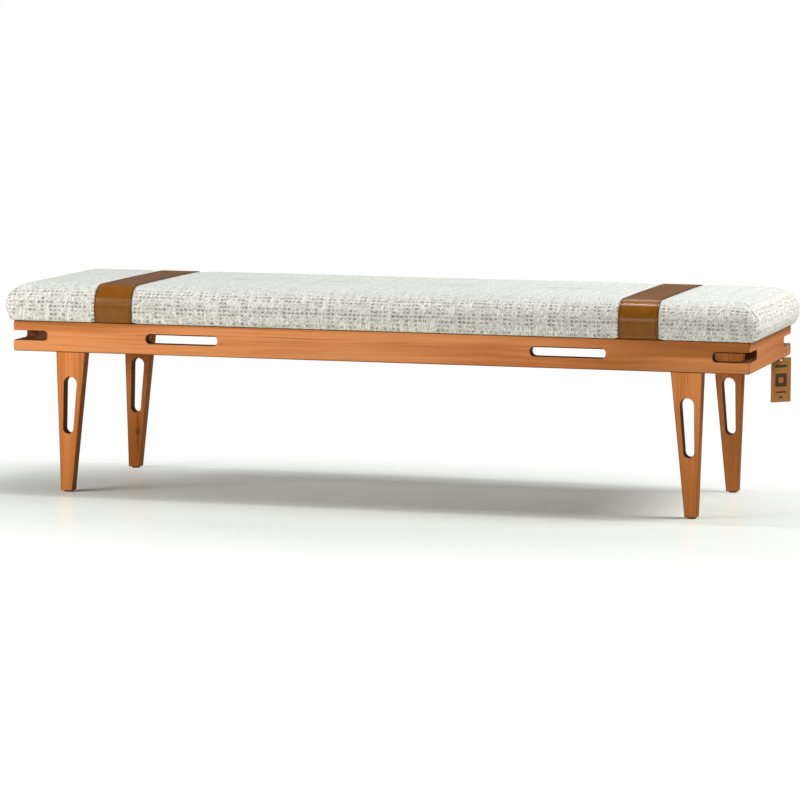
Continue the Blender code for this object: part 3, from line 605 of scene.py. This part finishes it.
def tweed_material(name, look):
    """Woven tweed: dark dashes gathered in a check of five by four, pale upright threads, fine weave.

    A dash's darkness comes from two waves along the repeat and one up it, less a chance of
    its own, so that the check shows and yet no two dashes are alike.
    """
    g = Graph(name, Sheen_Weight=0.10, Sheen_Roughness=0.5, Specular_IOR_Level=0.10)
    u, v = g.uv()
    turn = 2.0 * math.pi
    drift = g.noise(g.join(u * 5.0, v * 7.0, 0.0)) - 0.5
    wobble = g.noise(g.join(u * 190.0, v * 190.0, 1.0)) - 0.5
    tremble = g.noise(g.join(u * 190.0, v * 190.0, 7.0)) - 0.5
    along = u + wobble * 0.0052 + drift * 0.010
    up = v + tremble * 0.0048 + drift * 0.004

    row_at = up * (1.0 / look.row_pitch)
    row = row_at.floor()
    cell_at = along * (1.0 / look.dash_pitch) + g.chance(g.join(row, 3.0, 7.0)) * 0.18
    cell = cell_at.floor()
    fifth = cell * (turn / 5.0)
    columns = (fifth * 3.0 + 2.17).sine() * 0.28 + (fifth + 1.07).sine() * 0.20 + 0.60
    rows = (row * (turn / 4.0) + 0.12).sine() * 0.32 + 0.80
    luck = g.chance(g.join(cell, row, 1.0))
    slub = (columns * rows * look.check_share + look.stray_share - luck * 0.75).ease(0.0, 0.45)
    slub = slub * cell_at.central(0.22, 0.46) * row_at.central(0.09, 0.36)

    small_x = along * (2.0 / look.dash_pitch) + row * 0.31
    small_y = up * (2.0 / look.row_pitch)
    small = g.chance(g.join(small_x.floor(), small_y.floor(), 6.0)).ease(0.30, 0.80)
    small = small * small_x.central(0.20, 0.50) * small_y.central(0.14, 0.46)

    stroke_at = (along - up * 0.14) * (1.0 / look.warp_pitch)
    stroke = stroke_at.floor()
    broken = g.chance(g.join(stroke, (up * 105.0 + stroke * 0.37).floor(), 2.0))
    pale = broken.ease(0.58, 0.90) * stroke_at.central(0.10, 0.40)

    weft = (up * (turn / look.thread_pitch)).sine()
    warp = (along * (turn / look.thread_pitch)).sine()
    over = weft * warp * 0.5 + 0.5
    fuzz = g.noise(g.join(u * 1100.0, v * 1100.0, 0.0), 1.0, 2.0, 0.6)
    pepper = g.noise(g.join(along * 420.0, up * 420.0, 5.0), 1.0, 1.0)
    grey = g.chance(g.join(cell, row, 5.0))

    colour = g.mix(pepper.ease(0.30, 0.70), look.ground_dark, look.ground)
    colour = g.mix(pale * 0.70, colour, look.pale)
    shade = g.mix(grey, look.slub_dark, look.slub_light)
    colour = g.mix(small * (1.0 - pale) * 0.85, colour, look.slub_light)
    colour = g.mix(slub * (1.0 - pale * 0.5) * 0.88, colour, shade)
    # Painted shade: the weave's hollows between the threads are darkened
    colour = g.mix((1.0 - over) * (fuzz * 0.5 + 0.5) * 0.24, colour, look.slub_light)
    # Painted sheen: towards the crown the pattern is washed out into one cooler tone, as grazing light shows
    # the top
    top = g.place()[2].ease(COVER_HIGH.z - 0.0230, COVER_HIGH.z - 0.0060)
    colour = g.mix(top * 0.50, colour, look.painted_top_sheen)
    height = over * 0.42 + fuzz * 0.22 + slub * 0.18 + pale * 0.18
    return g.feed(Base_Color=colour, Roughness=fuzz.blend(0.82, 1.0), Normal=g.bump(height, 0.0008, 0.6))


def leather_material(name, look):
    """Waxed leather: pebbled grain, slow mottling, and darker burnished edges."""
    g = Graph(name, Specular_IOR_Level=0.26)
    u, v = g.uv()
    at = g.join(u, v, 0.0)
    pebble = g.cells(at, 850.0)
    mottle = g.noise(at, 26.0, 3.0, 0.55)
    slow = g.noise(at, 7.0)
    edge = abs(u).ease(STRAP_HALF_WIDTH - 0.0062, STRAP_HALF_WIDTH - 0.0008)
    colour = g.mix(mottle * 0.7 + slow * 0.3, look.dark, look.light)
    colour = g.mix(edge * 0.75, colour, look.edge_colour)
    rough = mottle.blend(0.13, 0.22) + pebble * 0.03
    height = pebble * 0.6 + mottle * 0.2
    return g.feed(Base_Color=colour, Roughness=rough, Normal=g.bump(height, 0.00025, 0.45))


def thread_material(name, colour, ply=0.0011):
    """Twisted thread: slanting bands of light and dark."""
    g = Graph(name, Specular_IOR_Level=0.3)
    x, y, z = g.place()
    twist = ((x + y + z) * (2.0 * math.pi / ply)).sine() * 0.5 + 0.5
    darker = tuple(part * 0.55 for part in colour[:3])
    return g.feed(Base_Color=g.mix(twist, darker, colour), Roughness=twist.blend(0.65, 0.85),
                  Normal=g.bump(twist, 0.0002, 0.5))


def plywood_material(name):
    """Sanded plywood: long face grain, and thin plies of two tones at its edges."""
    g = Graph(name, Specular_IOR_Level=0.3)
    x, y, z = g.place()
    grain = g.noise(g.join(x * 3.0, y * 160.0, 0.0), 1.0, 3.0, 0.6)
    flame = g.noise(g.join(x * 1.4, y * 14.0, 0.0))
    ply = (z * (2.0 * math.pi / 0.003)).sine().ease(-0.2, 0.2)
    colour = g.ramp(grain * 0.5 + flame * 0.5, [(0.3, (0.42, 0.27, 0.14)), (0.7, (0.66, 0.48, 0.29))])
    colour = g.mix(ply * 0.10, colour, (0.30, 0.18, 0.09))
    return g.feed(Base_Color=colour, Roughness=grain.blend(0.55, 0.75), Normal=g.bump(grain, 0.0002, 0.4))


def steel_material(name):
    """Zinc-plated steel with a faint yellow passivation."""
    g = Graph(name)
    x, y, z = g.place()
    wear = g.noise(g.join(x, y, z), 300.0, 3.0)
    colour = g.mix(wear, (0.52, 0.50, 0.44), (0.66, 0.62, 0.50))
    g.shader.inputs["Metallic"].default_value = 1.0
    return g.feed(Base_Color=colour, Roughness=wear.blend(0.25, 0.45))


def plastic_material(name):
    """Dark moulded plastic with a fine spark texture and dusty scuffs."""
    g = Graph(name, Specular_IOR_Level=0.4)
    x, y, z = g.place()
    at = g.join(x, y, z)
    spark = g.noise(at, 1800.0)
    scuff = g.noise(at, 120.0, 3.0).ease(0.55, 0.75)
    colour = g.mix(scuff * 0.5, (0.035, 0.030, 0.026), (0.16, 0.15, 0.13))
    return g.feed(Base_Color=colour, Roughness=spark.blend(0.45, 0.65), Normal=g.bump(spark, 0.0001, 0.4))


def card_material(name, look):
    """Kraft card: flecks and fibres, with plain bars and one thick plain frame in ink."""
    g = Graph(name, Specular_IOR_Level=0.25)
    x, y, z = g.place()
    middle = (TAG_LOW + TAG_HIGH) / 2.0
    turn = math.atan2(TAG_HIGH.y - TAG_LOW.y, TAG_HIGH.x - TAG_LOW.x)
    right = (x - middle.x) * math.cos(turn) + (y - middle.y) * math.sin(turn)
    out = (x - middle.x) * math.sin(turn) - (y - middle.y) * math.cos(turn)
    down = TAG_HIGH.z - z
    at = g.join(right, down, out)
    fibre = g.noise(g.join(right * 700.0, down * 250.0, out * 500.0), 1.0, 3.0, 0.6)
    fleck = g.noise(at, 420.0, 2.0, 0.6).ease(0.62, 0.7)
    cloud = g.noise(at, 30.0)
    paper = g.mix(cloud * 0.6 + fibre * 0.4, look.dark, look.light)
    paper = g.mix(fleck * 0.35, paper, look.ink)

    def bar(centre, half_wide, half_tall):
        return abs(down - centre).below(half_tall) * abs(right).below(half_wide)

    block = bar(0.054, 0.0160, 0.0160) - bar(0.054, 0.0065, 0.0065)
    marks = bar(0.0205, 0.0165, 0.0032) + block
    marks = marks + bar(0.0830, 0.0150, 0.0020) + bar(0.0950, 0.0045, 0.0026)
    front = out.above(0.0)
    worn = g.noise(at, 900.0).blend(0.80, 1.0)
    colour = g.mix(marks.least(1.0) * front * worn, paper, look.ink)
    return g.feed(Base_Color=colour, Roughness=fibre.blend(0.7, 0.9), Normal=g.bump(fibre, 0.0001, 0.4))


# Settings

def size(name, description, default):
    """A length in metres."""
    return bpy.props.FloatProperty(name=name, description=description, default=default, unit="LENGTH",
                                   subtype="DISTANCE", precision=5, step=0.01)


def paint_colour(name, description, default):
    """A colour in linear light."""
    return bpy.props.FloatVectorProperty(name=name, description=description, default=default, size=3,
                                         subtype="COLOR", min=0.0, max=1.0)


def number(name, description, default, unit="NONE"):
    """A plain number, or a light's power or a lens's length."""
    return bpy.props.FloatProperty(name=name, description=description, default=default, unit=unit)


class BenchCushionSettings(bpy.types.PropertyGroup):
    """Sizes of the seat cushion."""

    edge_overhang: size("Edge overhang", "How far the lower edge stands out from the frame", 0.0125)
    edge_radius: size("Edge radius", "Radius of the lower edge", 0.0100)
    edge_sag: size("Edge sag", "How far the lower edge sags over the rail", 0.0020)
    edge_drop: size("Edge drop", "How much lower the edge hangs away from the straps", 0.0024)
    end_tuck: size("End tuck", "How far the lower edge is drawn in at the ends", 0.0075)
    bulge: size("Bulge", "How far the side swells out from the frame", 0.0150)
    side_height: size("Side height", "Height of the side up to the rounding of the top", 0.036)
    top_radius: size("Top radius", "Radius from the side onto the top", 0.050)
    plan_radius: size("Corner radius", "Radius of the corners from above", 0.024)
    end_run: size("End run", "How far the top rises in from each end", 0.140)
    end_fall: size("End fall", "How far the top falls at each end", 0.0030)
    channel: size("Channel", "How far a strap draws the cushion in", 0.0018)
    channel_blend: size("Channel blend", "Width over which the cushion swells up beside a strap", 0.012)
    corner_pull: size("Corner pull", "How far the corners are drawn in", 0.0020)
    seam_depth: size("Seam depth", "Depth of the corner seams", 0.0014)
    unevenness: size("Unevenness", "Slow waves in the padding", 0.0002)
    slack: size("Slack", "How much smaller the cushion is before it swells", 0.0020)
    cap: size("Cap", "The most that a point may swell", 0.0032)
    pressure: number("Pressure", "Pressure that swells the cushion", 4.0)


class BenchTweedSettings(bpy.types.PropertyGroup):
    """Sizes and colours of the tweed."""

    dash_pitch: size("Dash pitch", "Distance between two dashes along the bench, five to a check", 0.0107)
    row_pitch: size("Row pitch", "Distance between two rows of dashes, four to a check", 0.0097)
    warp_pitch: size("Thread spacing", "Distance between two pale upright threads", 0.0054)
    thread_pitch: size("Weave pitch", "Distance between two threads of the ground weave", 0.0021)
    check_share: number("Check", "Strength of the check", 1.25)
    stray_share: number("Stray", "Strength of the dashes between", 0.05)
    ground: paint_colour("Ground", "Main colour", (0.72, 0.70, 0.645))
    ground_dark: paint_colour("Dark ground", "Darker tone of the ground", (0.54, 0.52, 0.475))
    pale: paint_colour("Pale thread", "Palest threads", (0.90, 0.89, 0.845))
    # Painted sheen: the top's tone where grazing light washes out the pattern
    painted_top_sheen: paint_colour("Brushed top", "Tone of the top, where the nap lies smooth", (0.46, 0.50, 0.475))
    slub_dark: paint_colour("Dark dash", "Darkest dashes", (0.125, 0.12, 0.105))
    slub_light: paint_colour("Light dash", "Lighter dashes", (0.31, 0.30, 0.27))


class BenchStrapSettings(bpy.types.PropertyGroup):
    """Sizes and colours of the leather straps."""

    thickness: size("Thickness", "Thickness of the leather", 0.0020)
    edge: size("Rounded edge", "Radius of the long edges", 0.0008)
    crease: size("Crease depth", "Depth of the line along each edge", 0.0005)
    crease_inset: size("Crease inset", "Distance of that line and its stitches from the edge", 0.0058)
    stitch: size("Stitch length", "Length of one stitch", 0.0038)
    pitch: size("Stitch pitch", "Distance between two stitches", 0.0052)
    thread: size("Thread radius", "Radius of the thread", 0.00042)
    dark: paint_colour("Dark leather", "Darker tone", (0.120, 0.039, 0.002))
    light: paint_colour("Light leather", "Lighter tone", (0.272, 0.096, 0.006))
    edge_colour: paint_colour("Edge", "Burnished edge", (0.055, 0.020, 0.006))
    thread_colour: paint_colour("Thread", "Stitching thread", (0.17, 0.075, 0.018))


class BenchWoodSettings(bpy.types.PropertyGroup):
    """Colours of the oiled hardwood."""

    dark: paint_colour("Dark", "Late wood", (0.270, 0.082, 0.009))
    # The wood's own darker lengths, and painted shade on the right end rail and the back legs
    shade: paint_colour("Shade", "Darker lengths of a board", (0.270, 0.078, 0.002))
    middle: paint_colour("Middle", "Body of the wood", (0.485, 0.153, 0.036))
    light: paint_colour("Light", "Early wood", (0.640, 0.236, 0.078))
    pore: paint_colour("Pore", "Open pores", (0.150, 0.040, 0.008))
    # Knot hearts, and the painted shade at rims, sawn edges and inner faces
    edge: paint_colour("Edge", "Edges of the openings", (0.075, 0.022, 0.004))
    # Painted shade on the legs' outer sawn edges
    side: paint_colour("Side", "Outer edges of the legs", (0.240, 0.080, 0.012))
    warmth: paint_colour("Warmth", "Tint of the legs' wood", (1.0, 0.94, 0.76))


class BenchTagSettings(bpy.types.PropertyGroup):
    """Colours of the hang tag and its string."""

    dark: paint_colour("Dark card", "Darker tone", (0.235, 0.094, 0.020))
    light: paint_colour("Light card", "Lighter tone", (0.345, 0.142, 0.036))
    ink: paint_colour("Ink", "Printed marks", (0.022, 0.011, 0.006))
    string: paint_colour("String", "Twine", (0.66, 0.54, 0.36))


class BenchStageSettings(bpy.types.PropertyGroup):
    """Floor, backdrop, lights and camera."""

    floor: paint_colour("Floor", "Colour of the floor", (0.77, 0.81, 0.757))
    backdrop: paint_colour("Backdrop", "Colour behind the floor", (1.0, 1.0, 1.0))
    top_power: number("Top light", "Power of the soft light above and behind", 36.0, "POWER")
    strip_power: number("Strip light", "Power of the narrow light above", 26.0, "POWER")
    front_power: number("Front light", "Power of the light at the front left", 86.0, "POWER")
    side_power: number("Side light", "Power of the low wide light in front", 20.0, "POWER")
    end_power: number("End light", "Power of the light at the right end", 108.0, "POWER")
    left_power: number("Left light", "Power of the light at the left end", 24.0, "POWER")
    ambient: number("Ambient", "Light from all round", 0.14)
    lens: number("Lens", "Focal length", 179.706, "CAMERA")


# Place, target, width and height, and colour of each light
LIGHTS = {
    "top": ((0.2, 2.4, 3.0), (0.1, 0.0, 0.4), (3.6, 1.6), (0.88, 0.975, 1.0)),
    "strip": ((-0.25, 0.12, 3.0), (-0.25, 0.0, 0.4), (0.95, 0.22), (1.0, 0.99, 0.97)),
    "front": ((-2.9, -2.7, 2.0), (-0.1, -0.2, 0.38), (1.8, 1.2), (1.0, 0.98, 0.95)),
    "side": ((-0.5, -3.4, 0.95), (-0.3, -0.2, 0.45), (2.4, 0.40), (1.0, 0.97, 0.92)),
    "end": ((2.6, 0.2, 2.5), (0.85, 0.0, 0.42), (1.2, 1.2), (1.0, 0.99, 0.97)),
    "left": ((-2.7, -1.3, 1.5), (-0.9, 0.0, 0.0), (1.3, 1.0), (0.96, 1.0, 1.0)),
}


# The camera's place, and its yaw, pitch and roll in degrees, from a fit to the photograph
CAMERA_PLACE = (2.6801, -9.1732, 1.2900)
CAMERA_TURN = (16.3083, -6.3735, 0.1921)


# Operators

class BenchOperator:
    """What the bench's operators share."""

    bl_options = {"REGISTER", "UNDO"}


class BENCH_OT_cushion(BenchOperator, bpy.types.Operator):
    """Make the tweed cushion: a crowned pad with drawn-in corners that swells beside the straps"""

    bl_idname = "bench.make_cushion"
    bl_label = "Make cushion"

    def execute(self, context):
        """Lay out the grid, swell it as cloth and finish it in tweed."""
        pad = settings("bench_cushion")
        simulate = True
        slack = pad.slack if simulate else 0.0
        points, uv, strap, height = cushion_surface(pad, slack)
        mesh = grid_mesh("cushion", points, closed=True, uv=uv)
        held = np.maximum(strap * np.ones_like(points[..., 0]), (height < COVER_LOW.z + 0.004)[:, None])
        layer = mesh.attributes.new("held", "FLOAT", "POINT")
        layer.data.foreach_set("value", held.ravel().astype(np.float32))
        tidy_mesh(mesh)
        piece = add_piece("seat_cushion", mesh, tweed_material("tweed", settings("bench_tweed")))
        if simulate:
            weights = np.empty(len(mesh.vertices), np.float32)
            mesh.attributes["held"].data.foreach_get("value", weights)
            swell(piece, 0.12 + 0.88 * weights, pad.pressure, pad.cap)
        mesh.attributes.remove(mesh.attributes["held"])
        finer(piece)
        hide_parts("seat_cover", "seat_foam")
        return {"FINISHED"}


class BENCH_OT_straps(BenchOperator, bpy.types.Operator):
    """Make the two leather straps with their creased edges and stitches"""

    bl_idname = "bench.make_straps"
    bl_label = "Make straps"

    def execute(self, context):
        """Carry the strap's section over the cushion, and lay stitches along its creases."""
        pad, leather = settings("bench_cushion"), settings("bench_strap")
        material = leather_material("leather", leather)
        thread = thread_material("strap_thread", leather.thread_colour)
        for name, place in (("strap_left", -STRAP_MIDDLE), ("strap_right", STRAP_MIDDLE)):
            skin = self.strap(pad, leather, name, place)
            piece = add_piece(name + "_leather", skin, material)
            finer(piece)
            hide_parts(name)
            tubes = self.stitches(pad, leather, name, place)
            stitches = add_piece(name + "_stitches", tubes, thread)
            stitches["part_of"] = name
        return {"FINISHED"}

    def strap(self, pad, leather, name, place):
        """The strap's skin: a section with rounded long edges and two creases, along the path.

        The section's outer side is the thickness, less a quarter circle at each long edge
        and less a bell curve at each crease.
        """
        half = STRAP_HALF_WIDTH
        crease = half - leather.crease_inset
        near = np.array([-0.0024, -0.0012, -0.0006, 0.0, 0.0006, 0.0012, 0.0024])
        rim = half - leather.edge * (1.0 - np.sin(np.radians([0.0, 30.0, 60.0, 90.0])))
        middle = np.linspace(-0.032, 0.032, 9)
        across = np.concatenate([-rim[::-1], near - crease, middle, near + crease, rim])
        beyond = np.clip((np.abs(across) - (half - leather.edge)) / leather.edge, 0.0, 1.0)
        lift = leather.thickness - leather.edge * (1.0 - np.sqrt(1.0 - beyond ** 2))
        lift = lift - leather.crease * np.exp(-((np.abs(across) - crease) / 0.0009) ** 2)
        under = np.linspace(half, -half, 5)
        x = np.append(across, under)
        lift = np.append(lift, np.zeros(len(under)))
        low = strap_path(pad, STRAP_GAP)
        rise = (strap_path(pad, STRAP_GAP + leather.thickness) - low) / leather.thickness
        ring = low[:, None, :] + rise[:, None, :] * lift[None, :, None]
        points = np.dstack([np.broadcast_to(x + place, ring.shape[:2]), ring])
        lids = np.broadcast_to(points.mean(axis=1, keepdims=True), points.shape)
        points = np.concatenate([lids[:1], points, lids[-1:]])
        length = np.pad(running_length(low), 1, mode="edge")
        uv = np.stack(np.broadcast_arrays(x[None, :], length[:, None]), -1)
        return tidy_mesh(grid_mesh(name, points, closed=True, uv=corner_uv(uv)))

    def stitches(self, pad, leather, name, place):
        """Short rounded stitches along both creases.

        Each is a tube that thins like an ellipse towards its ends, and whose middle stands
        proud of them.
        """
        path = strap_path(pad, STRAP_GAP + leather.thickness - leather.crease * 0.6)
        length = running_length(path)
        start = length[8]
        places = np.arange(start, length[-1] - start, leather.pitch)
        half = STRAP_HALF_WIDTH - leather.crease_inset
        along = np.linspace(-1.0, 1.0, STITCH_RINGS)
        at = places[:, None] + along * leather.stitch / 2.0
        line = np.stack([np.interp(at, length, path[:, part]) for part in (0, 1)], -1)
        ahead = np.gradient(line, axis=1)
        ahead /= np.linalg.norm(ahead, axis=-1, keepdims=True)
        turn = np.radians(np.arange(STITCH_SIDES) * (360.0 / STITCH_SIDES))
        radius = leather.thread * np.sqrt(np.clip(1.0 - (0.94 * along) ** 2, 0.0, 1.0))
        proud = leather.thread * 0.5 * (1.0 - along ** 2)
        rise = proud[:, None] + radius[:, None] * np.sin(turn)
        y = line[..., :1] - ahead[..., 1:] * rise
        z = line[..., 1:] + ahead[..., :1] * rise
        x = np.broadcast_to(radius[:, None] * np.cos(turn), y.shape)
        tubes = np.stack([x, y, z], -1)
        both = np.concatenate([tubes + (place + shift, 0.0, 0.0) for shift in (-half, half)])
        ring = np.arange(STITCH_SIDES)
        rows = np.arange(STITCH_RINGS)[:, None] * STITCH_SIDES
        row, above = rows[:-1], rows[1:]
        beside = (ring + 1) % STITCH_SIDES
        quads = np.stack([row + ring, row + beside, above + beside, above + ring], -1)
        first = np.arange(len(both))[:, None] * STITCH_RINGS * STITCH_SIDES
        sides = (first[..., None] + quads.reshape(-1, 4)).reshape(-1, 4).tolist()
        ends = np.concatenate([first + ring[::-1], first + rows[-1] + ring]).tolist()
        mesh = bpy.data.meshes.new(name + "_stitches")
        mesh.from_pydata(both.reshape(-1, 3).tolist(), [], sides + ends)
        mesh.shade_smooth()
        return tidy_mesh(mesh, 1e-7)


class BENCH_OT_frame(BenchOperator, bpy.types.Operator):
    """Finish the frame's rails and legs in oiled hardwood"""

    bl_idname = "bench.finish_frame"
    bl_label = "Finish frame"

    def execute(self, context):
        """Paint each board with its grain along its length."""
        look = settings("bench_wood")
        sides = (HALF_DEPTH - STOCK, HALF_DEPTH)
        ends = (HALF_LENGTH - STOCK, HALF_LENGTH)
        knots = {"leg_back_left": (0.092, -(HALF_LENGTH - 0.1440))}
        # Darker lengths: on the front rail the wood's own darker right end, with a pale lower finger; on the
        # right end rail and the back legs painted shade; on the back rail and the front legs darker all
        # along or towards the foot
        boards = (
            ("front_rail", "X", sides, (0.40, 0.80, 0.75, 0.55, 0.80)),
            ("back_rail", "X", sides, (-2.0, -1.0, 0.5)),
            ("left_end_rail", "Y", ends, None),
            ("right_end_rail", "Y", ends, (-2.0, -1.0, 0.50)),
            ("leg_front_left", "Z", sides, (0.30, 0.02, 0.40)),
            ("leg_front_right", "Z", sides, (0.34, 0.02, 0.55)),
            ("leg_back_left", "Z", sides, (0.34, 0.02, 1.0)),
            ("leg_back_right", "Z", sides, (0.34, 0.02, 0.60)),
        )
        for order, (node, grain, faces, darker) in enumerate(boards):
            seed = order * SEED_STEP
            paint(node, wood_material(f"{node}_wood", look, grain, seed, faces, darker, knots.get(node)))
        return {"FINISHED"}


class BeechLook:
    """Colours of plain planed beech."""

    dark = (0.42, 0.25, 0.13)
    middle = (0.58, 0.38, 0.21)
    light = (0.68, 0.48, 0.29)
    pore = (0.30, 0.17, 0.08)


class BENCH_OT_inner(BenchOperator, bpy.types.Operator):
    """Finish the seat board, battens, joints, screws and glides"""

    bl_idname = "bench.finish_inner"
    bl_label = "Finish inner pieces"

    def execute(self, context):
        """Paint the pieces that show only from below, and those inside the joints."""
        finishes = (
            ("seat_board", plywood_material("plywood")),
            ("seat_batten", wood_material("batten_wood", BeechLook, "Y", 11.0)),
            (("tenon", "mitre_key"), wood_material("joint_wood", BeechLook, "Z", 5.0)),
            ("seat_screw", steel_material("screw_steel")),
            ("glide", plastic_material("glide_plastic")),
        )
        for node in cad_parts:
            for start, material in finishes:
                if node.startswith(start):
                    paint(node, material)
        return {"FINISHED"}


class BENCH_OT_tag(BenchOperator, bpy.types.Operator):
    """Finish the hang tag and its string"""

    bl_idname = "bench.finish_tag"
    bl_label = "Finish hang tag"

    def execute(self, context):
        """Paint the card and the string."""
        look = settings("bench_tag")
        paint("hang_tag", card_material("tag_card", look))
        paint("tag_string", thread_material("tag_twine", look.string, 0.0016))
        return {"FINISHED"}


class BENCH_OT_stage(BenchOperator, bpy.types.Operator):
    """Set up the floor, the backdrop, the lights and the camera"""

    bl_idname = "bench.make_stage"
    bl_label = "Make stage"

    def execute(self, context):
        """Make each part of the studio."""
        look = settings("bench_stage")
        self.floor(look)
        self.backdrop(context, look)
        for name, (place, target, extent, colour) in LIGHTS.items():
            self.light(f"{name}_light", place, target, extent, getattr(look, f"{name}_power"), colour)
        self.camera(context, look)
        context.scene.view_settings.view_transform = "Standard"
        context.scene.view_settings.look = "None"
        return {"FINISHED"}

    def floor(self, look):
        """A wide level floor with a faint sheen, which turns into the backdrop away from the bench."""
        reach = 30.0
        places = np.linspace(-1.0, 1.0, 9) * reach
        x, y = np.meshgrid(places, places)
        points = np.stack([x, y, np.zeros_like(x)], -1)
        mesh = grid_mesh("floor", points)
        g = Graph("floor_paint", Specular_IOR_Level=0.16, IOR=1.25)
        px, py, _ = g.place()
        cloud = g.noise(g.join(px, py, 0.0), 3.0)
        darker = tuple(part * 0.985 for part in look.floor)
        g.feed(Base_Color=g.mix(cloud, darker, look.floor), Roughness=cloud.blend(0.20, 0.26))
        near = py + 0.25
        far = (px * px * 0.28 + near * near).power(0.5).ease(0.42, 0.88)
        ray = g.node("ShaderNodeLightPath", output="Is Camera Ray")
        self.show(g.tree, g.shader, "ShaderNodeEmission", look.backdrop, (far * ray).socket)
        mesh.materials.append(g.material)
        add_object("floor", mesh)

    def show(self, tree, lit, kind, colour, share):
        """Let the camera see a plain colour in place of a lit shader, by a share."""
        shown = tree.nodes.new(kind)
        shown.inputs["Color"].default_value = (*colour, 1.0)
        mixer = tree.nodes.new("ShaderNodeMixShader")
        output = next(node for node in tree.nodes if node.bl_idname.startswith("ShaderNodeOutput"))
        links = ((share, mixer.inputs[0]), (lit.outputs[0], mixer.inputs[1]),
                 (shown.outputs[0], mixer.inputs[2]), (mixer.outputs[0], output.inputs[0]))
        for source, target in links:
            tree.links.new(source, target)

    def backdrop(self, context, look):
        """A world that shows white to the camera and lights the bench softly."""
        world = bpy.data.worlds.new("studio")
        world.use_nodes = True
        tree = world.node_tree
        lit = tree.nodes["Background"]
        lit.inputs["Color"].default_value = (*look.backdrop, 1.0)
        lit.inputs["Strength"].default_value = look.ambient
        ray = tree.nodes.new("ShaderNodeLightPath").outputs["Is Camera Ray"]
        self.show(tree, lit, "ShaderNodeBackground", look.backdrop, ray)
        context.scene.world = world

    def light(self, name, place, target, extent, power, colour):
        """A soft rectangular light aimed at a point."""
        lamp = bpy.data.lights.new(name, "AREA")
        lamp.shape = "RECTANGLE"
        lamp.size, lamp.size_y = extent
        lamp.energy = power
        lamp.color = colour
        holder = add_object(name, lamp)
        aim = (Vector(target) - Vector(place)).to_track_quat("-Z", "Y")
        holder.matrix_world = Matrix.Translation(place) @ aim.to_matrix().to_4x4()

    def camera(self, context, look):
        """The camera, at the photograph's viewing angle."""
        yaw, pitch, roll = (math.radians(angle) for angle in CAMERA_TURN)
        ahead = Vector((-math.sin(yaw) * math.cos(pitch), math.cos(yaw) * math.cos(pitch), math.sin(pitch)))
        level = Vector((math.cos(yaw), math.sin(yaw), 0.0))
        upright = level.cross(ahead)
        right = math.cos(roll) * level + math.sin(roll) * upright
        above = math.cos(roll) * upright - math.sin(roll) * level
        turned = Matrix((right, above, -ahead)).transposed().to_4x4()
        data = bpy.data.cameras.new("camera")
        data.lens = look.lens
        data.sensor_width = 36.0
        data.sensor_fit = "HORIZONTAL"
        data.clip_end = 200.0
        holder = add_object("camera", data)
        holder.matrix_world = Matrix.Translation(CAMERA_PLACE) @ turned
        context.scene.camera = holder


class BENCH_PT_panel(bpy.types.Panel):
    """Sizes and colours of the bench, and the steps that make it"""

    bl_idname = "BENCH_PT_panel"
    bl_label = "Bench"
    bl_space_type = "VIEW_3D"
    bl_region_type = "UI"
    bl_category = "Bench"

    def draw(self, context):
        """List the steps, then the settings."""
        for operator in OPERATORS:
            self.layout.operator(operator.bl_idname)
        for name, group in GROUPS.items():
            box = self.layout.box()
            box.label(text=group.__doc__)
            for key in group.__annotations__:
                box.prop(getattr(context.scene, name), key)


GROUPS = {
    "bench_cushion": BenchCushionSettings,
    "bench_tweed": BenchTweedSettings,
    "bench_strap": BenchStrapSettings,
    "bench_wood": BenchWoodSettings,
    "bench_tag": BenchTagSettings,
    "bench_stage": BenchStageSettings,
}
OPERATORS = (BENCH_OT_cushion, BENCH_OT_straps, BENCH_OT_frame, BENCH_OT_inner, BENCH_OT_tag, BENCH_OT_stage)


def register():
    """Register the settings, the operators and the panel."""
    for name, group in GROUPS.items():
        bpy.utils.register_class(group)
        setattr(bpy.types.Scene, name, bpy.props.PointerProperty(type=group))
    for operator in OPERATORS:
        bpy.utils.register_class(operator)
    bpy.utils.register_class(BENCH_PT_panel)


def unregister():
    """Take them all away again."""
    bpy.utils.unregister_class(BENCH_PT_panel)
    for operator in reversed(OPERATORS):
        bpy.utils.unregister_class(operator)
    for name, group in reversed(list(GROUPS.items())):
        delattr(bpy.types.Scene, name)
        bpy.utils.unregister_class(group)


def main():
    """Make the whole scene."""
    register()
    bpy.ops.bench.make_stage()
    bpy.ops.bench.make_cushion()
    bpy.ops.bench.make_straps()
    bpy.ops.bench.finish_frame()
    bpy.ops.bench.finish_inner()
    bpy.ops.bench.finish_tag()


if __name__ == "__main__":
    main()
